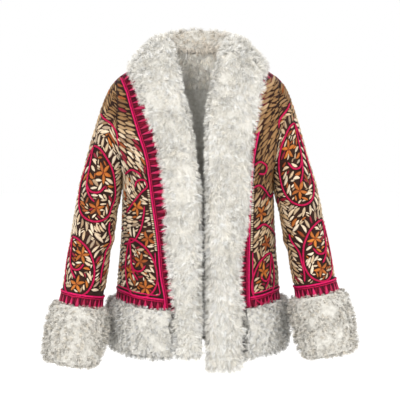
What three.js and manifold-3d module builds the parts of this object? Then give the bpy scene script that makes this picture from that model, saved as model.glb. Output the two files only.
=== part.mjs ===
import * as THREE from "three";
import Module from "manifold-3d";

// Afghan coat of embroidered sheepskin with shearling trims, filled out as worn and hanging open.
// Millimetres, +Z up. The wearer faces -Y, and left and right are the wearer's, so left is +X.
// The origin is midway between the shoulders, at the height where they carry the coat.

// Driving sizes
const WALL = 5; // sheepskin with its clipped fleece inside
const SEAM = 0.3; // between two sewn pieces
const EDGE = 0.9; // how far a laid piece stays from a panel's cut edge
const LAY = 0.4; // between a piece and the panel that it lies on
const FIT = 0.6; // the same, where the piece has the panel's own points
const BAND = 2.2; // height of the embroidered border bands over the panel
const SINK = 1.6; // how far a piece is drawn below the panel before the panel is cut out of it
const TUCK = 3; // a band stops this far from the fur's sewn edge
const BOW = 2.3; // roundness of the body sections, where 2 is an ellipse
const NECK_TOP = 38;
const SHOULDER_TOP = -23; // top of the armhole, on the shoulder ridge
const ARMPIT = -243;
const SIDE_HEM = -616; // lowest edge of the panels at the side seams
const BACK_HEM_DROP = 4;
const FRONT_HEM_DROP = 8;
const HEM_FUR_TOP = -513; // sewn edge of the hem fur at the side seams
const HEM_FUR_DIP = 16; // how much lower that edge lies at the front
const HEM_BAND = 26; // width of the border band above the hem fur
const HEM_FUR = 27; // depth of the pile on the hem
const TRIM_FUR = 31; // depth of the pile on the front trims
const CUFF_FUR = 25;
const CUFF_BAND = 25;
const ARMHOLE_FRONT = 60; // half depth of the armhole, forward
const ARMHOLE_BACK = 64;

const COLOURS = {
  skin: 0x5a4530,
  band: 0x8c1746,
  fur: 0xe9e4da,
};

// Body sections: half width, and depth forward and back from the side seams.
const BODY = [
  { z: -680, half: 184, front: 158, back: 147 },
  { z: -620, half: 182, front: 155, back: 143 },
  { z: -540, half: 182, front: 148, back: 135 },
  { z: -460, half: 179, front: 140, back: 126 },
  { z: -380, half: 172, front: 133, back: 118 },
  { z: -300, half: 169, front: 130, back: 115 },
  { z: -243, half: 168, front: 129, back: 116 },
  { z: -230, half: 171, front: 128, back: 116 },
  { z: -200, half: 181, front: 125, back: 117 },
  { z: -165, half: 193, front: 119, back: 116 },
  { z: -133, half: 201, front: 112, back: 113 },
  { z: -100, half: 204, front: 101, back: 108 },
  { z: -60, half: 199, front: 88, back: 98 },
  { z: -40, half: 190, front: 80, back: 91 },
  { z: -23, half: 180, front: 72, back: 83 },
  { z: -10, half: 163, front: 66, back: 76 },
  { z: 5, half: 136, front: 60, back: 69 },
  { z: 20, half: 105, front: 54, back: 62 },
  { z: 38, half: 75, front: 46, back: 54 },
  { z: 60, half: 41, front: 38, back: 46 },
];

// Front edges of the two fronts: how far each lies from the middle, as x.
const FRONT_EDGE = [
  { z: -680, left: 25, right: 0 },
  { z: -315, left: 25, right: 0 },
  { z: -250, left: 25, right: -3 },
  { z: -207, left: 24, right: -11 },
  { z: -146, left: 24, right: -16 },
  { z: -94, left: 27, right: -28 },
  { z: -60, left: 33, right: -37 },
  { z: -25, left: 41, right: -46 },
  { z: 5, left: 54, right: -56 },
  { z: 22, left: 63, right: -64 },
  { z: 38, left: 71, right: -71 },
];

// Sewn outer edges of the fur trims on the fronts, as x.
const TRIM_EDGE = [
  { z: -680, left: 91, right: -47 },
  { z: -530, left: 90, right: -47 },
  { z: -471, left: 84, right: -52 },
  { z: -428, left: 84, right: -56 },
  { z: -377, left: 90, right: -62 },
  { z: -330, left: 101, right: -64 },
  { z: -246, left: 104, right: -65 },
  { z: -203, left: 107, right: -76 },
  { z: -160, left: 111, right: -82 },
  { z: -117, left: 119, right: -101 },
  { z: -70, left: 129, right: -118 },
  { z: -40, left: 135, right: -130 },
  { z: -15, left: 141, right: -141 },
  { z: 2, left: 142, right: -142 },
];

// Outer edges of the border bands on the fronts, as x.
const BORDER_EDGE = [
  { z: -560, left: 111, right: -71 },
  { z: -500, left: 111, right: -73 },
  { z: -450, left: 111, right: -82 },
  { z: -377, left: 112, right: -88 },
  { z: -291, left: 115, right: -100 },
  { z: -237, left: 118, right: -107 },
  { z: -193, left: 123, right: -114 },
  { z: -146, left: 132, right: -129 },
  { z: -92, left: 147, right: -146 },
  { z: -54, left: 158, right: -157 },
  { z: -30, left: 167, right: -167 },
  { z: -18, left: 174, right: -174 },
];

// Sections of the fur from the chest round the neck: heights of its inner and outer sewn edges, and
// behind the shoulder the angle of both from the shoulder ridge. Lift is the pile at the inner edge,
// depth at the outer edge, swell what is added between them, up how far the roll stands on end, and
// nose how far it bulges past its inner edge.
const ROLL = [
  { step: 0, turn: 9, inner: -100, outer: -100, lift: 31, depth: 31, swell: 0, up: 0, nose: 8 },
  { step: 1, turn: 9, inner: -68, outer: -76, lift: 32, depth: 31, swell: 0, up: 0, nose: 8 },
  { step: 2, turn: 9, inner: -35, outer: -52, lift: 36, depth: 31, swell: 1, up: 0.08, nose: 9 },
  { step: 3, turn: 9, inner: -8, outer: -31, lift: 42, depth: 30, swell: 1, up: 0.2, nose: 12 },
  { step: 4, turn: 9, inner: 14, outer: -14, lift: 47, depth: 29, swell: 1, up: 0.32, nose: 15 },
  { step: 5, turn: 9, inner: 30, outer: -3, lift: 50, depth: 27, swell: 0, up: 0.4, nose: 18 },
  { step: 6, turn: 0, inner: 37.6, outer: 1, lift: 52, depth: 26, swell: -1, up: 0.46, nose: 21 },
  { step: 7, turn: -22, inner: 37.6, outer: -5, lift: 57, depth: 27, swell: 3, up: 0.55, nose: 24 },
  { step: 8, turn: -45, inner: 37.6, outer: -15, lift: 65, depth: 28, swell: 8, up: 0.64, nose: 24 },
  { step: 9, turn: -68, inner: 37.6, outer: -20, lift: 73, depth: 29, swell: 10, up: 0.68, nose: 22 },
  { step: 10, turn: -90, inner: 37.6, outer: -22, lift: 77, depth: 29, swell: 11, up: 0.7, nose: 21 },
];
const COLLAR_SEAM = 4; // the step at which the trims on the fronts end and the collar begins
const RIDGE = 6; // the step on the shoulder ridge

// Round outline of a fur trim's section: share of the way across from the inner edge,
// distance beyond that edge, and height as a share of the pile.
const FUR_SECTION = [
  { across: 1, beyond: 3.5, rise: 0.14 },
  { across: 1, beyond: 6, rise: 0.36 },
  { across: 1, beyond: 4, rise: 0.66 },
  { across: 0.9, beyond: 0, rise: 0.92 },
  { across: 0.66, beyond: 0, rise: 1 },
  { across: 0.34, beyond: 0, rise: 1 },
  { across: 0.08, beyond: 0, rise: 0.9 },
  { across: 0, beyond: 5, rise: 0.66 },
  { across: 0, beyond: 8.5, rise: 0.3 },
];
const NOSE = { out: 8, in: 1.6, low: 5, deep: 9 }; // where the fur wraps round an edge
const HEM_NOSE = { ...NOSE, out: 10 };

// Soft vertical folds of the body: angle from the left side towards the front, in degrees.
const BODY_FOLDS = [
  { turn: 28, wide: 11, depth: -4, top: -230, foot: -640 },
  { turn: 47, wide: 10, depth: 4, top: -260, foot: -660 },
  { turn: 133, wide: 10, depth: 4.5, top: -280, foot: -660 },
  { turn: 152, wide: 11, depth: -4.5, top: -220, foot: -640 },
  { turn: 208, wide: 13, depth: 4, top: -300, foot: -660 },
  { turn: 236, wide: 12, depth: -4, top: -250, foot: -660 },
  { turn: 268, wide: 15, depth: 5, top: -330, foot: -660 },
  { turn: 301, wide: 12, depth: -4.5, top: -270, foot: -660 },
  { turn: 333, wide: 12, depth: 3.5, top: -310, foot: -660 },
];

// Sleeve folds, along the arm from the upper-arm section, and round it from the outer side forward.
const SLEEVE_FOLDS = [
  { along: 40, turn: 140, wide: 15, span: 48, depth: -5, slant: 0.2 },
  { along: 84, turn: 112, wide: 15, span: 50, depth: -5, slant: 0.12 },
  { along: 112, turn: 150, wide: 14, span: 42, depth: 4, slant: -0.05 },
  { along: 140, turn: 122, wide: 15, span: 50, depth: -5, slant: -0.14 },
  { along: 150, turn: 230, wide: 18, span: 55, depth: -3.5, slant: 0.15 },
  { along: 196, turn: 60, wide: 16, span: 46, depth: -3, slant: -0.15 },
];

// The arms: the upper-arm section's centre, how the sleeve leans out and how far it comes forward,
// its length below that section, the cuff's height, and the section's half sizes.
const ARMS = {
  left: { side: 1, x: 217, lean: 11.2, bend: 112, length: 359, cuff: 120, wide: 47, deep: 60 },
  right: { side: -1, x: 218, lean: 8.9, bend: 114, length: 377, cuff: 116, wide: 47, deep: 60 },
};
const UPPER_ARM = { z: -262, y: -14 };
const WRIST = { wide: 45, deep: 48 };
const SLEEVE_HEAD = {
  leaves: { top: [0.82, 0, -0.57], pit: [0.12, 0, -0.99] },
  reach: { top: 34, pit: 7 },
  arrive: { top: 118, pit: 8 },
  flare: { top: 0.11, pit: 0 }, // how much further the head leans out than the arm below it
};

const DEG = Math.PI / 180;
const V = (x, y, z) => new THREE.Vector3(x, y, z);
const mix = (a, b, t) => a + (b - a) * t;
const clamp01 = (t) => Math.min(1, Math.max(0, t));
const smooth = (t) => clamp01(t) ** 2 * (3 - 2 * clamp01(t));
const pow = (v, e) => Math.sign(v) * Math.abs(v) ** e;
const range = (n) => Array.from({ length: n }, (_, i) => i);
const spread = (from, to, steps) => range(steps + 1).map((i) => mix(from, to, i / steps));

// A column of a table at a place between its rows, as a smooth curve through them.
function lookup(table, key, place, column) {
  const rising = table[0][key] < table.at(-1)[key];
  const rows = rising ? table : table.toReversed();
  const last = rows.length - 2;
  const i = Math.min(last, Math.max(0, rows.findIndex((r) => r[key] > place) - 1));
  const at = place >= rows.at(-1)[key] ? last : i;
  const slope = (k) => {
    const lo = Math.max(0, k - 1);
    const hi = Math.min(rows.length - 1, k + 1);
    return (rows[hi][column] - rows[lo][column]) / (rows[hi][key] - rows[lo][key]);
  };
  const step = rows[at + 1][key] - rows[at][key];
  const t = clamp01((place - rows[at][key]) / step);
  const ease = t * t * (3 - 2 * t);
  const bendIn = t * (1 - t) ** 2;
  const bendOut = t * t * (t - 1);
  const level = mix(rows[at][column], rows[at + 1][column], ease);
  return level + step * (bendIn * slope(at) + bendOut * slope(at + 1));
}

// How far the folds move the body's surface out, at an angle from the left side and a height.
function bodyFold(turn, z) {
  return BODY_FOLDS.reduce((sum, f) => {
    const apart = Math.abs(((turn / DEG - f.turn + 540) % 360) - 180);
    const down = smooth((f.top - z) / (f.top - f.foot));
    return sum + f.depth * down * Math.exp(-((apart / f.wide) ** 2));
  }, 0);
}

// The body's outer surface: turn runs from the left side (0) over the front (90) to the back (270).
function bodyPoint(turn, z) {
  const depth = lookup(BODY, "z", z, Math.sin(turn) > 0 ? "front" : "back");
  const p = V(
    lookup(BODY, "z", z, "half") * pow(Math.cos(turn), 2 / BOW),
    -depth * pow(Math.sin(turn), 2 / BOW),
    z,
  );
  const out = 1 + bodyFold(turn, z) / Math.hypot(p.x, p.y);
  return V(p.x * out, p.y * out, z);
}

// The outward normal of a surface given by two numbers.
function normalOf(surface, a, b, stepA, stepB) {
  const along = surface(a + stepA, b).sub(surface(a - stepA, b));
  const up = surface(a, b + stepB).sub(surface(a, b - stepB));
  return up.cross(along).normalize();
}
const bodyNormal = (turn, z) => normalOf(bodyPoint, turn, z, 0.02, 1.5);

// The angle at which the front or back reaches an x, or a depth from the side seams.
function turnAtX(x, z) {
  const share = Math.min(1, Math.max(-1, x / lookup(BODY, "z", z, "half")));
  return Math.acos(pow(share, BOW / 2));
}
function turnAtDepth(depth, z, column) {
  return Math.asin(pow(depth / lookup(BODY, "z", z, column), BOW / 2));
}

// Height rows shared by the panels and what lies on them: hem to armpit, armhole, shoulder.
const LOW_ROWS = 9;
const ARMHOLE_ROWS = 9;
const SHOULDER_ROWS = 4;
const ROWS = LOW_ROWS + ARMHOLE_ROWS + SHOULDER_ROWS;
const FRONT_COLUMNS = 11;
const BACK_COLUMNS = 20;
const armholeAngle = (row) => Math.PI * (1 - (row - LOW_ROWS) / ARMHOLE_ROWS);
function rowHeight(row, hem) {
  if (row <= LOW_ROWS) return mix(hem, ARMPIT, row / LOW_ROWS);
  if (row <= LOW_ROWS + ARMHOLE_ROWS) return armholeHeight(armholeAngle(row));
  return mix(SHOULDER_TOP, NECK_TOP, (row - LOW_ROWS - ARMHOLE_ROWS) / SHOULDER_ROWS);
}

// The armhole is an oval on the body, by its angle from the shoulder.
function armholeHeight(angle) {
  return (SHOULDER_TOP + ARMPIT) / 2 + ((SHOULDER_TOP - ARMPIT) / 2) * Math.cos(angle);
}
const armholeDepth = (angle, column) =>
  (column === "front" ? ARMHOLE_FRONT : ARMHOLE_BACK) * Math.max(0, Math.sin(angle));

// A panel's side edge in a row, as an angle from its own side seam or shoulder ridge.
function sideEdge(row, column) {
  if (row <= LOW_ROWS || row >= LOW_ROWS + ARMHOLE_ROWS) return 0;
  const angle = armholeAngle(row);
  return turnAtDepth(armholeDepth(angle, column), armholeHeight(angle), column);
}

// The lowest edge of the panels, which dips towards the front edges and the middle of the back.
function panelHem(turn) {
  const forward = Math.max(0, Math.sin(turn));
  const nearEdge = smooth((forward - 0.9) / 0.1);
  const edgeDrop = Math.cos(turn) > 0.01 ? 26 : -2;
  const back = BACK_HEM_DROP * Math.max(0, -Math.sin(turn));
  return SIDE_HEM - FRONT_HEM_DROP * forward ** 2 - (edgeDrop - FRONT_HEM_DROP) * nearEdge - back;
}

// A closed solid from points and triangles, with its faces turned outwards.
function closed(name, colour, points, faces) {
  const volume = faces.reduce((sum, [a, b, c]) => {
    return sum + points[a].dot(points[b].clone().cross(points[c]));
  }, 0);
  const index = faces.flatMap(([a, b, c]) => (volume < 0 ? [a, c, b] : [a, b, c]));
  const geometry = new THREE.BufferGeometry();
  geometry.setAttribute(
    "position",
    new THREE.Float32BufferAttribute(points.flatMap((p) => [p.x, p.y, p.z]), 3),
  );
  geometry.setIndex(index);
  geometry.computeVertexNormals();
  const material = new THREE.MeshStandardMaterial({ color: colour, roughness: 0.85, metalness: 0 });
  const mesh = new THREE.Mesh(geometry, material);
  mesh.name = name;
  return mesh;
}

// A skin through equal closed outlines, with ends closed by flat triangles or joined into a ring.
function loft(name, colour, outlines, flat = null) {
  const count = outlines[0].length;
  const spans = flat ? outlines.length - 1 : outlines.length;
  const faces = [];
  for (let i = 0; i < spans; i++) {
    const a = i * count;
    const b = ((i + 1) % outlines.length) * count;
    for (let j = 0; j < count; j++) {
      const k = (j + 1) % count;
      faces.push([a + j, b + j, b + k], [a + j, b + k, a + k]);
    }
  }
  if (flat) {
    const end = (outlines.length - 1) * count;
    const startCap = THREE.ShapeUtils.triangulateShape(flat[0], []);
    const endCap = THREE.ShapeUtils.triangulateShape(flat[1], []);
    startCap.forEach((face) => faces.push(face));
    endCap.forEach(([a, b, c]) => faces.push([a + end, c + end, b + end]));
  }
  return closed(name, colour, outlines.flat(), faces);
}

// A wall between two equal grids of points, closed round its four edges.
function wall(name, colour, outer, inner) {
  const rows = outer.length;
  const cols = outer[0].length;
  const points = [...outer.flat(), ...inner.flat()];
  const far = rows * cols;
  const at = (i, j) => i * cols + j;
  const faces = [];
  for (let i = 0; i < rows - 1; i++) {
    for (let j = 0; j < cols - 1; j++) {
      const [a, b, c, d] = [at(i, j), at(i, j + 1), at(i + 1, j + 1), at(i + 1, j)];
      faces.push([a, b, c], [a, c, d], [a + far, c + far, b + far], [a + far, d + far, c + far]);
    }
  }
  const rim = [
    ...range(cols).map((j) => at(0, j)),
    ...range(rows).slice(1).map((i) => at(i, cols - 1)),
    ...range(cols - 1).map((j) => at(rows - 1, cols - 2 - j)),
    ...range(rows - 2).map((i) => at(rows - 2 - i, 0)),
  ];
  rim.forEach((a, n) => {
    const b = rim[(n + 1) % rim.length];
    faces.push([a, a + far, b + far], [a, b + far, b]);
  });
  return closed(name, colour, points, faces);
}

// Direction in which the sleeve leaves the armhole, by the angle round it.
function sleeveLeaves(angle, side) {
  const down = (1 - Math.cos(angle)) / 2;
  const { top, pit } = SLEEVE_HEAD.leaves;
  return V(side * mix(top[0], pit[0], down ** 1.5), 0, mix(top[2], pit[2], down)).normalize();
}

// A point of the armhole: angle from the shoulder, forward to the armpit and up behind.
function armholePoint(angle, side) {
  const column = Math.sin(angle) >= 0 ? "front" : "back";
  const z = armholeHeight(angle);
  const fromSide = turnAtDepth(armholeDepth(Math.abs(angle), column), z, column);
  return bodyPoint(armholeTurn(fromSide, column, side), z);
}
function armholeTurn(fromSide, column, side) {
  const forward = column === "front" ? fromSide : -fromSide;
  return side > 0 ? forward : Math.PI - forward;
}

// A sleeve's outer surface: along runs from -1 at the armhole to 0 at the upper arm,
// and then in millimetres down to the wrist.
function sleevePoint(angle, along, arm) {
  if (along >= 0) return armPoint(angle, along, arm);
  const t = along + 1;
  const down = smooth((1 - Math.cos(angle)) / 2);
  const start = armholePoint(angle, arm.side);
  const end = armPoint(angle, 0, arm);
  const part = (size) => mix(SLEEVE_HEAD[size].top, SLEEVE_HEAD[size].pit, down);
  const control = start.clone().addScaledVector(sleeveLeaves(angle, arm.side), part("reach"));
  const heading = armAxis(arm).add(V(arm.side * part("flare"), (-0.75 * arm.bend) / arm.length, 0));
  const before = end.clone().addScaledVector(heading, -part("arrive"));
  const curve = new THREE.CubicBezierCurve3(start, control, before, end);
  return curve.getPoint(t);
}
function armAxis(arm) {
  return V(arm.side * Math.sin(arm.lean * DEG), 0, -Math.cos(arm.lean * DEG));
}
const armForward = (share, arm) => arm.bend * (0.75 * share + 0.25 * share * Math.abs(share));
function armPoint(angle, along, arm) {
  const axis = armAxis(arm);
  const out = V(arm.side * Math.cos(arm.lean * DEG), 0, Math.sin(arm.lean * DEG));
  const share = along / arm.length;
  const fold = sleeveFold(angle, along);
  const wide = mix(arm.wide, WRIST.wide, smooth(share)) + fold;
  const deep = mix(arm.deep, WRIST.deep, smooth(share)) + fold;
  return V(arm.side * arm.x, UPPER_ARM.y - armForward(share, arm), UPPER_ARM.z)
    .addScaledVector(axis, along)
    .addScaledVector(out, wide * Math.cos(angle))
    .addScaledVector(V(0, -1, 0), deep * Math.sin(angle));
}
function sleeveFold(angle, along) {
  return SLEEVE_FOLDS.reduce((sum, f) => {
    const apart = ((((angle / DEG - f.turn) % 360) + 540) % 360) - 180;
    const off = (along - f.along - f.slant * apart) / f.wide;
    return sum + f.depth * Math.exp(-(off ** 2) - (apart / f.span) ** 2);
  }, 0);
}

// Outward normal of the sleeve, taken from its surface a little inside its ends.
function sleeveNormal(angle, along, arm) {
  const step = along < 0 ? 0.02 : 2;
  const place = along < 0 ? Math.min(-step, Math.max(along, step - 1)) : Math.max(along, step);
  const surface = (a, s) => sleevePoint(a, s, arm);
  const n = normalOf(surface, angle, place, 0.03, step);
  return n.multiplyScalar(-arm.side);
}

// The shared direction of the two cut edges at the armhole. They part at the armpit, where both turn down.
function seamNormals(angle, arm) {
  const column = Math.sin(angle) >= 0 ? "front" : "back";
  const z = armholeHeight(angle);
  const fromSide = turnAtDepth(armholeDepth(Math.abs(angle), column), z, column);
  const body = bodyNormal(armholeTurn(fromSide, column, arm.side), z);
  const sleeve = sleeveNormal(angle, -1, arm);
  const share = smooth(body.dot(sleeve) / 0.6);
  return {
    body: body.clone().addScaledVector(sleeve, share).normalize(),
    sleeve: sleeve.clone().addScaledVector(body, share).normalize(),
  };
}

// A body panel as a wall. edges(row) gives the angles where each row starts and ends, and
// armEnds lists which of the two ends meets a sleeve there.
function bodyPanel(name, cols, edges, armEnds, grow) {
  const outer = [];
  const inner = [];
  for (let row = 0; row <= ROWS; row++) {
    const [from, to] = edges(row);
    const outerRow = [];
    const innerRow = [];
    for (let col = 0; col <= cols; col++) {
      const free = grow > 0 && col === cols && !armEnds.some((e) => e.col === cols);
      const turn = mix(from, to, col / cols) + (free ? (Math.sign(to - from) * EDGE) / 140 : 0);
      const past = grow > 0 ? (row === ROWS) - (row === 0) : 0;
      const z = rowHeight(row, panelHem(turn)) + EDGE * past;
      const p = bodyPoint(turn, z);
      const end = armEnds.find((e) => e.col === col);
      const inHole = end && row > LOW_ROWS - 1 && row <= LOW_ROWS + ARMHOLE_ROWS;
      const angle = inHole && row >= LOW_ROWS ? armholeAngle(row) * end.way : 0;
      const n = inHole && row >= LOW_ROWS ? seamNormals(angle, end.arm).body : bodyNormal(turn, z);
      const apart = end ? (SEAM / 2) * end.way : 0; // clear of the piece across the seam
      outerRow.push(V(p.x, p.y - apart, p.z).addScaledVector(n, grow));
      innerRow.push(V(p.x, p.y - apart, p.z).addScaledVector(n, -WALL - grow));
    }
    outer.push(outerRow);
    inner.push(innerRow);
  }
  return wall(name, COLOURS.skin, outer, inner);
}

function frontPanel(hand, grow = 0) {
  const arm = ARMS[hand];
  const turned = (turn) => (arm.side > 0 ? turn : Math.PI - turn);
  const edges = (row) => {
    const z = rowHeight(row, SIDE_HEM - FRONT_HEM_DROP);
    return [turned(sideEdge(row, "front")), turnAtX(lookup(FRONT_EDGE, "z", z, hand), z)];
  };
  return bodyPanel("front_" + hand, FRONT_COLUMNS, edges, [{ col: 0, arm, way: 1 }], grow);
}

function backPanel(grow = 0) {
  const cols = BACK_COLUMNS;
  const edges = (row) => {
    const side = sideEdge(row, "back");
    return [-side, -Math.PI + side];
  };
  const ends = [
    { col: 0, arm: ARMS.left, way: -1 },
    { col: cols, arm: ARMS.right, way: -1 },
  ];
  return bodyPanel("back", cols, edges, ends, grow);
}

// Angles round the armhole and sleeve: the front's rows down to the armpit, and the back's rows up.
const SLEEVE_ANGLES = range(2 * ARMHOLE_ROWS).map((i) => {
  const angle = (Math.PI * i) / ARMHOLE_ROWS;
  return angle > Math.PI ? angle - 2 * Math.PI : angle;
});
const CAP_ROWS = [-1, -0.84, -0.66, -0.46, -0.24];
const SLEEVE_ROWS = 15;

function sleeve(hand, grow = 0) {
  const arm = ARMS[hand];
  const places = [...CAP_ROWS, ...spread(0, arm.length, SLEEVE_ROWS)];
  const outlines = SLEEVE_ANGLES.map((angle) => {
    const leave = sleeveLeaves(angle, arm.side);
    const points = places.map((along) => {
      const first = along === -1;
      const n = first ? seamNormals(angle, arm).sleeve : sleeveNormal(angle, along, arm);
      const p = sleevePoint(angle, along, arm);
      if (first) p.addScaledVector(leave, SEAM).add(V(arm.side * SEAM, 0, 0));
      const outer = p.clone().addScaledVector(n, grow);
      return { outer, inner: p.addScaledVector(n, -WALL - grow) };
    });
    return [...points.map((p) => p.outer), ...points.map((p) => p.inner).reverse()];
  });
  return loft("sleeve_" + hand, COLOURS.skin, outlines);
}

// The closed outline of a fur trim across its sewn strip. Each base point has a place, the panel's
// normal there and the pile's direction. The first one is on the edge that the fur wraps round.
function furOutline(base, pile, wraps, lift = -SINK) {
  const at = (across) => {
    const place = clamp01(across) * (base.length - 1);
    const i = Math.min(base.length - 2, Math.floor(place));
    const t = place - i;
    return {
      p: base[i].p.clone().lerp(base[i + 1].p, t),
      n: base[i].n.clone().lerp(base[i + 1].n, t).normalize(),
    };
  };
  const beyond = (across) => {
    const [a, b] = across > 0.5 ? [base.at(-2), base.at(-1)] : [base[1], base[0]];
    return b.p.clone().sub(a.p).normalize();
  };
  const under = base.map((b) => b.p.clone().addScaledVector(b.lay, lift));
  const dome = FUR_SECTION.map((s) => {
    const { p, n } = at(s.across);
    const reach = s.across > 0 ? s.beyond : (s.beyond * wraps.out) / NOSE.out;
    return p
      .addScaledVector(n, LAY + pile(s.across) * s.rise)
      .addScaledVector(beyond(s.across), reach);
  });
  const edge = base[0];
  const away = beyond(0);
  const hook = [
    [wraps.out, -wraps.low],
    [wraps.out * 0.6, -wraps.deep],
    [wraps.in, 1.5 - wraps.deep],
    [wraps.in, lift],
  ].map(([out, rise]) => {
    return edge.p.clone().addScaledVector(away, out).addScaledVector(edge.lay, rise);
  });
  return [...under, ...dome, ...hook];
}

// Flat drawing of a fur outline, in which its ends are filled with triangles.
function flatOutline(outline) {
  const origin = outline[0];
  const across = outline[ACROSS].clone().sub(origin).normalize();
  const lift = outline[ACROSS + 5].clone().sub(origin);
  const up = lift.addScaledVector(across, -lift.dot(across)).normalize();
  return outline.map((p) => {
    const d = p.clone().sub(origin);
    return new THREE.Vector2(d.dot(across), d.dot(up));
  });
}
function furLoft(name, sections) {
  const flat = [flatOutline(sections[0]), flatOutline(sections.at(-1))];
  return loft(name, COLOURS.fur, sections, flat);
}

// Base points on the body from the inner edge (turn, height) to the outer edge.
const ACROSS = 3;
function bodyStrip(inner, outer, up = 0) {
  return spread(0, 1, ACROSS).map((t) => {
    const turn = mix(inner.turn, outer.turn, t);
    const z = mix(inner.z, outer.z, t);
    const lay = bodyNormal(turn, z);
    const stand = up * (1 - t);
    const n = lay.clone().multiplyScalar(1 - stand).add(V(0, 0, stand)).normalize();
    return { p: bodyPoint(turn, z), n, lay };
  });
}

// A section of the fur round the neck, at a step of the table.
function rollOutline(step, hand) {
  const [get, side] = [(column) => lookup(ROLL, "step", step, column), ARMS[hand].side];
  const inner = { z: get("inner"), turn: 0 };
  const outer = { z: get("outer"), turn: 0 };
  if (step < RIDGE) {
    inner.turn = turnAtX(lookup(FRONT_EDGE, "z", inner.z, hand), inner.z);
    outer.turn = turnAtX(lookup(TRIM_EDGE, "z", outer.z, hand), outer.z);
  } else {
    inner.turn = side > 0 ? get("turn") * DEG : Math.PI - get("turn") * DEG;
    outer.turn = inner.turn;
  }
  const pile = (across) => mix(get("lift"), get("depth"), across) + get("swell") * Math.sin(Math.PI * across);
  return furOutline(bodyStrip(inner, outer, get("up")), pile, { ...NOSE, out: get("nose") });
}

// A front trim: level sections up the front edge, and then the ones that turn up to the shoulder.
function frontTrim(hand) {
  const edge = FRONT_EDGE[0][hand];
  const low = panelHem(turnAtX(edge, SIDE_HEM));
  const sections = spread(low, -128, 15).map((z) => {
    const inner = { turn: turnAtX(lookup(FRONT_EDGE, "z", z, hand), z), z };
    const outer = { turn: turnAtX(lookup(TRIM_EDGE, "z", z, hand), z), z };
    return furOutline(bodyStrip(inner, outer), () => TRIM_FUR, NOSE);
  });
  const tip = sections[0].map((p) => p.clone());
  const middle = centreOf(tip);
  tip.forEach((p) => p.lerp(middle, 0.2).add(V(0, 3, -13)));
  const turned = spread(0, COLLAR_SEAM, 2 * COLLAR_SEAM).map((step) => rollOutline(step, hand));
  return furLoft("front_trim_" + hand, [tip, ...sections, ...turned]);
}
function centreOf(points) {
  return points.reduce((sum, p) => sum.add(p), V(0, 0, 0)).multiplyScalar(1 / points.length);
}

function collar() {
  const steps = spread(COLLAR_SEAM, ROLL.length - 1, 2 * (ROLL.length - 1 - COLLAR_SEAM));
  const left = steps.map((step) => rollOutline(step, "left"));
  const right = steps.slice(0, -1).reverse().map((step) => rollOutline(step, "right"));
  const sections = [...left, ...right];
  shift(sections[0], sections[1]);
  shift(sections.at(-1), sections.at(-2));
  return furLoft("collar", sections);
}
// Moves an end outline clear of the piece that it is sewn to.
function shift(outline, next) {
  outline.forEach((p, i) => p.add(next[i].clone().sub(p).setLength(2 * SEAM)));
}

// Sewn top edge of the hem fur, by the angle round the body.
function hemFurTop(turn) {
  const forward = Math.sin(turn);
  return HEM_FUR_TOP - HEM_FUR_DIP * Math.max(0, forward) ** 2 - 4 * Math.max(0, -forward);
}
function hemTrim(name, turns, lift = -SINK) {
  const sections = turns.map((turn) => {
    const base = spread(panelHem(turn), hemFurTop(turn), ACROSS).map((z) => {
      const n = bodyNormal(turn, z);
      return { p: bodyPoint(turn, z), n, lay: n };
    });
    return furOutline(base, () => HEM_FUR, HEM_NOSE, lift);
  });
  return furLoft(name, sections);
}
function hemTurns(hand, stop, steps) {
  const side = ARMS[hand].side;
  const start = side > 0 ? SEAM / 150 : Math.PI - SEAM / 150;
  return spread(start, turnAtX(stop, HEM_FUR_TOP), steps);
}
const BACK_TURNS = spread(0, -Math.PI, BACK_COLUMNS).map((turn) => {
  return Math.max(SEAM / 150 - Math.PI, Math.min(-SEAM / 150, turn));
});

// A border band between two edges on the body, given as lists of angle and height.
function bodyBand(name, innerEdge, outerEdge) {
  return band(name, innerEdge.map((inner, i) => bodyStrip(inner, outerEdge[i])));
}
function band(name, strips, ends = true, lift = -SINK) {
  const outlines = strips.map((strip) => [
    ...strip.map((b) => b.p.clone().addScaledVector(b.lay, lift)),
    ...strip.map((b) => b.p.clone().addScaledVector(b.lay, BAND)).reverse(),
  ]);
  const flat = range(ACROSS + 1).map((i) => new THREE.Vector2(i, 0));
  const drawn = [...flat, ...flat.map((p) => new THREE.Vector2(p.x, 1)).reverse()];
  return loft(name, COLOURS.band, outlines, ends ? [drawn, drawn] : null);
}

function frontBand(hand) {
  const side = ARMS[hand].side;
  const placed = (t, table, off, top) => {
    const low = hemFurTop(turnAtX(lookup(table, "z", HEM_FUR_TOP, hand), HEM_FUR_TOP)) + TUCK;
    const z = mix(low, top, t);
    return { turn: turnAtX(lookup(table, "z", z, hand) + side * off, z), z };
  };
  // Towards the shoulder the band's rows tilt across it.
  const places = [...spread(0, 0.76, 14), ...spread(0.79, 1, 10)];
  const inner = places.map((t) => placed(t, TRIM_EDGE, TUCK, -20 + 16 * smooth(t * 5 - 4)));
  const outer = places.map((t) => placed(t, BORDER_EDGE, 0, -20));
  const ridge = side > 0 ? 0.3 * DEG : Math.PI - 0.3 * DEG;
  const onward = (edge, z) => {
    const { turn, z: from } = edge.at(-1);
    edge.push(...[0.3, 0.6, 0.82, 1].map((t) => ({ turn: mix(turn, ridge, t), z: mix(from, z, t) })));
  };
  onward(inner, -3.5);
  onward(outer, -18.5);
  return bodyBand("front_border_" + hand, inner, outer);
}

function hemBand(name, turns) {
  const low = turns.map((turn) => ({ turn, z: hemFurTop(turn) + TUCK }));
  const high = turns.map((turn) => ({ turn, z: hemFurTop(turn) + HEM_BAND }));
  return bodyBand(name, low, high);
}

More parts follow.
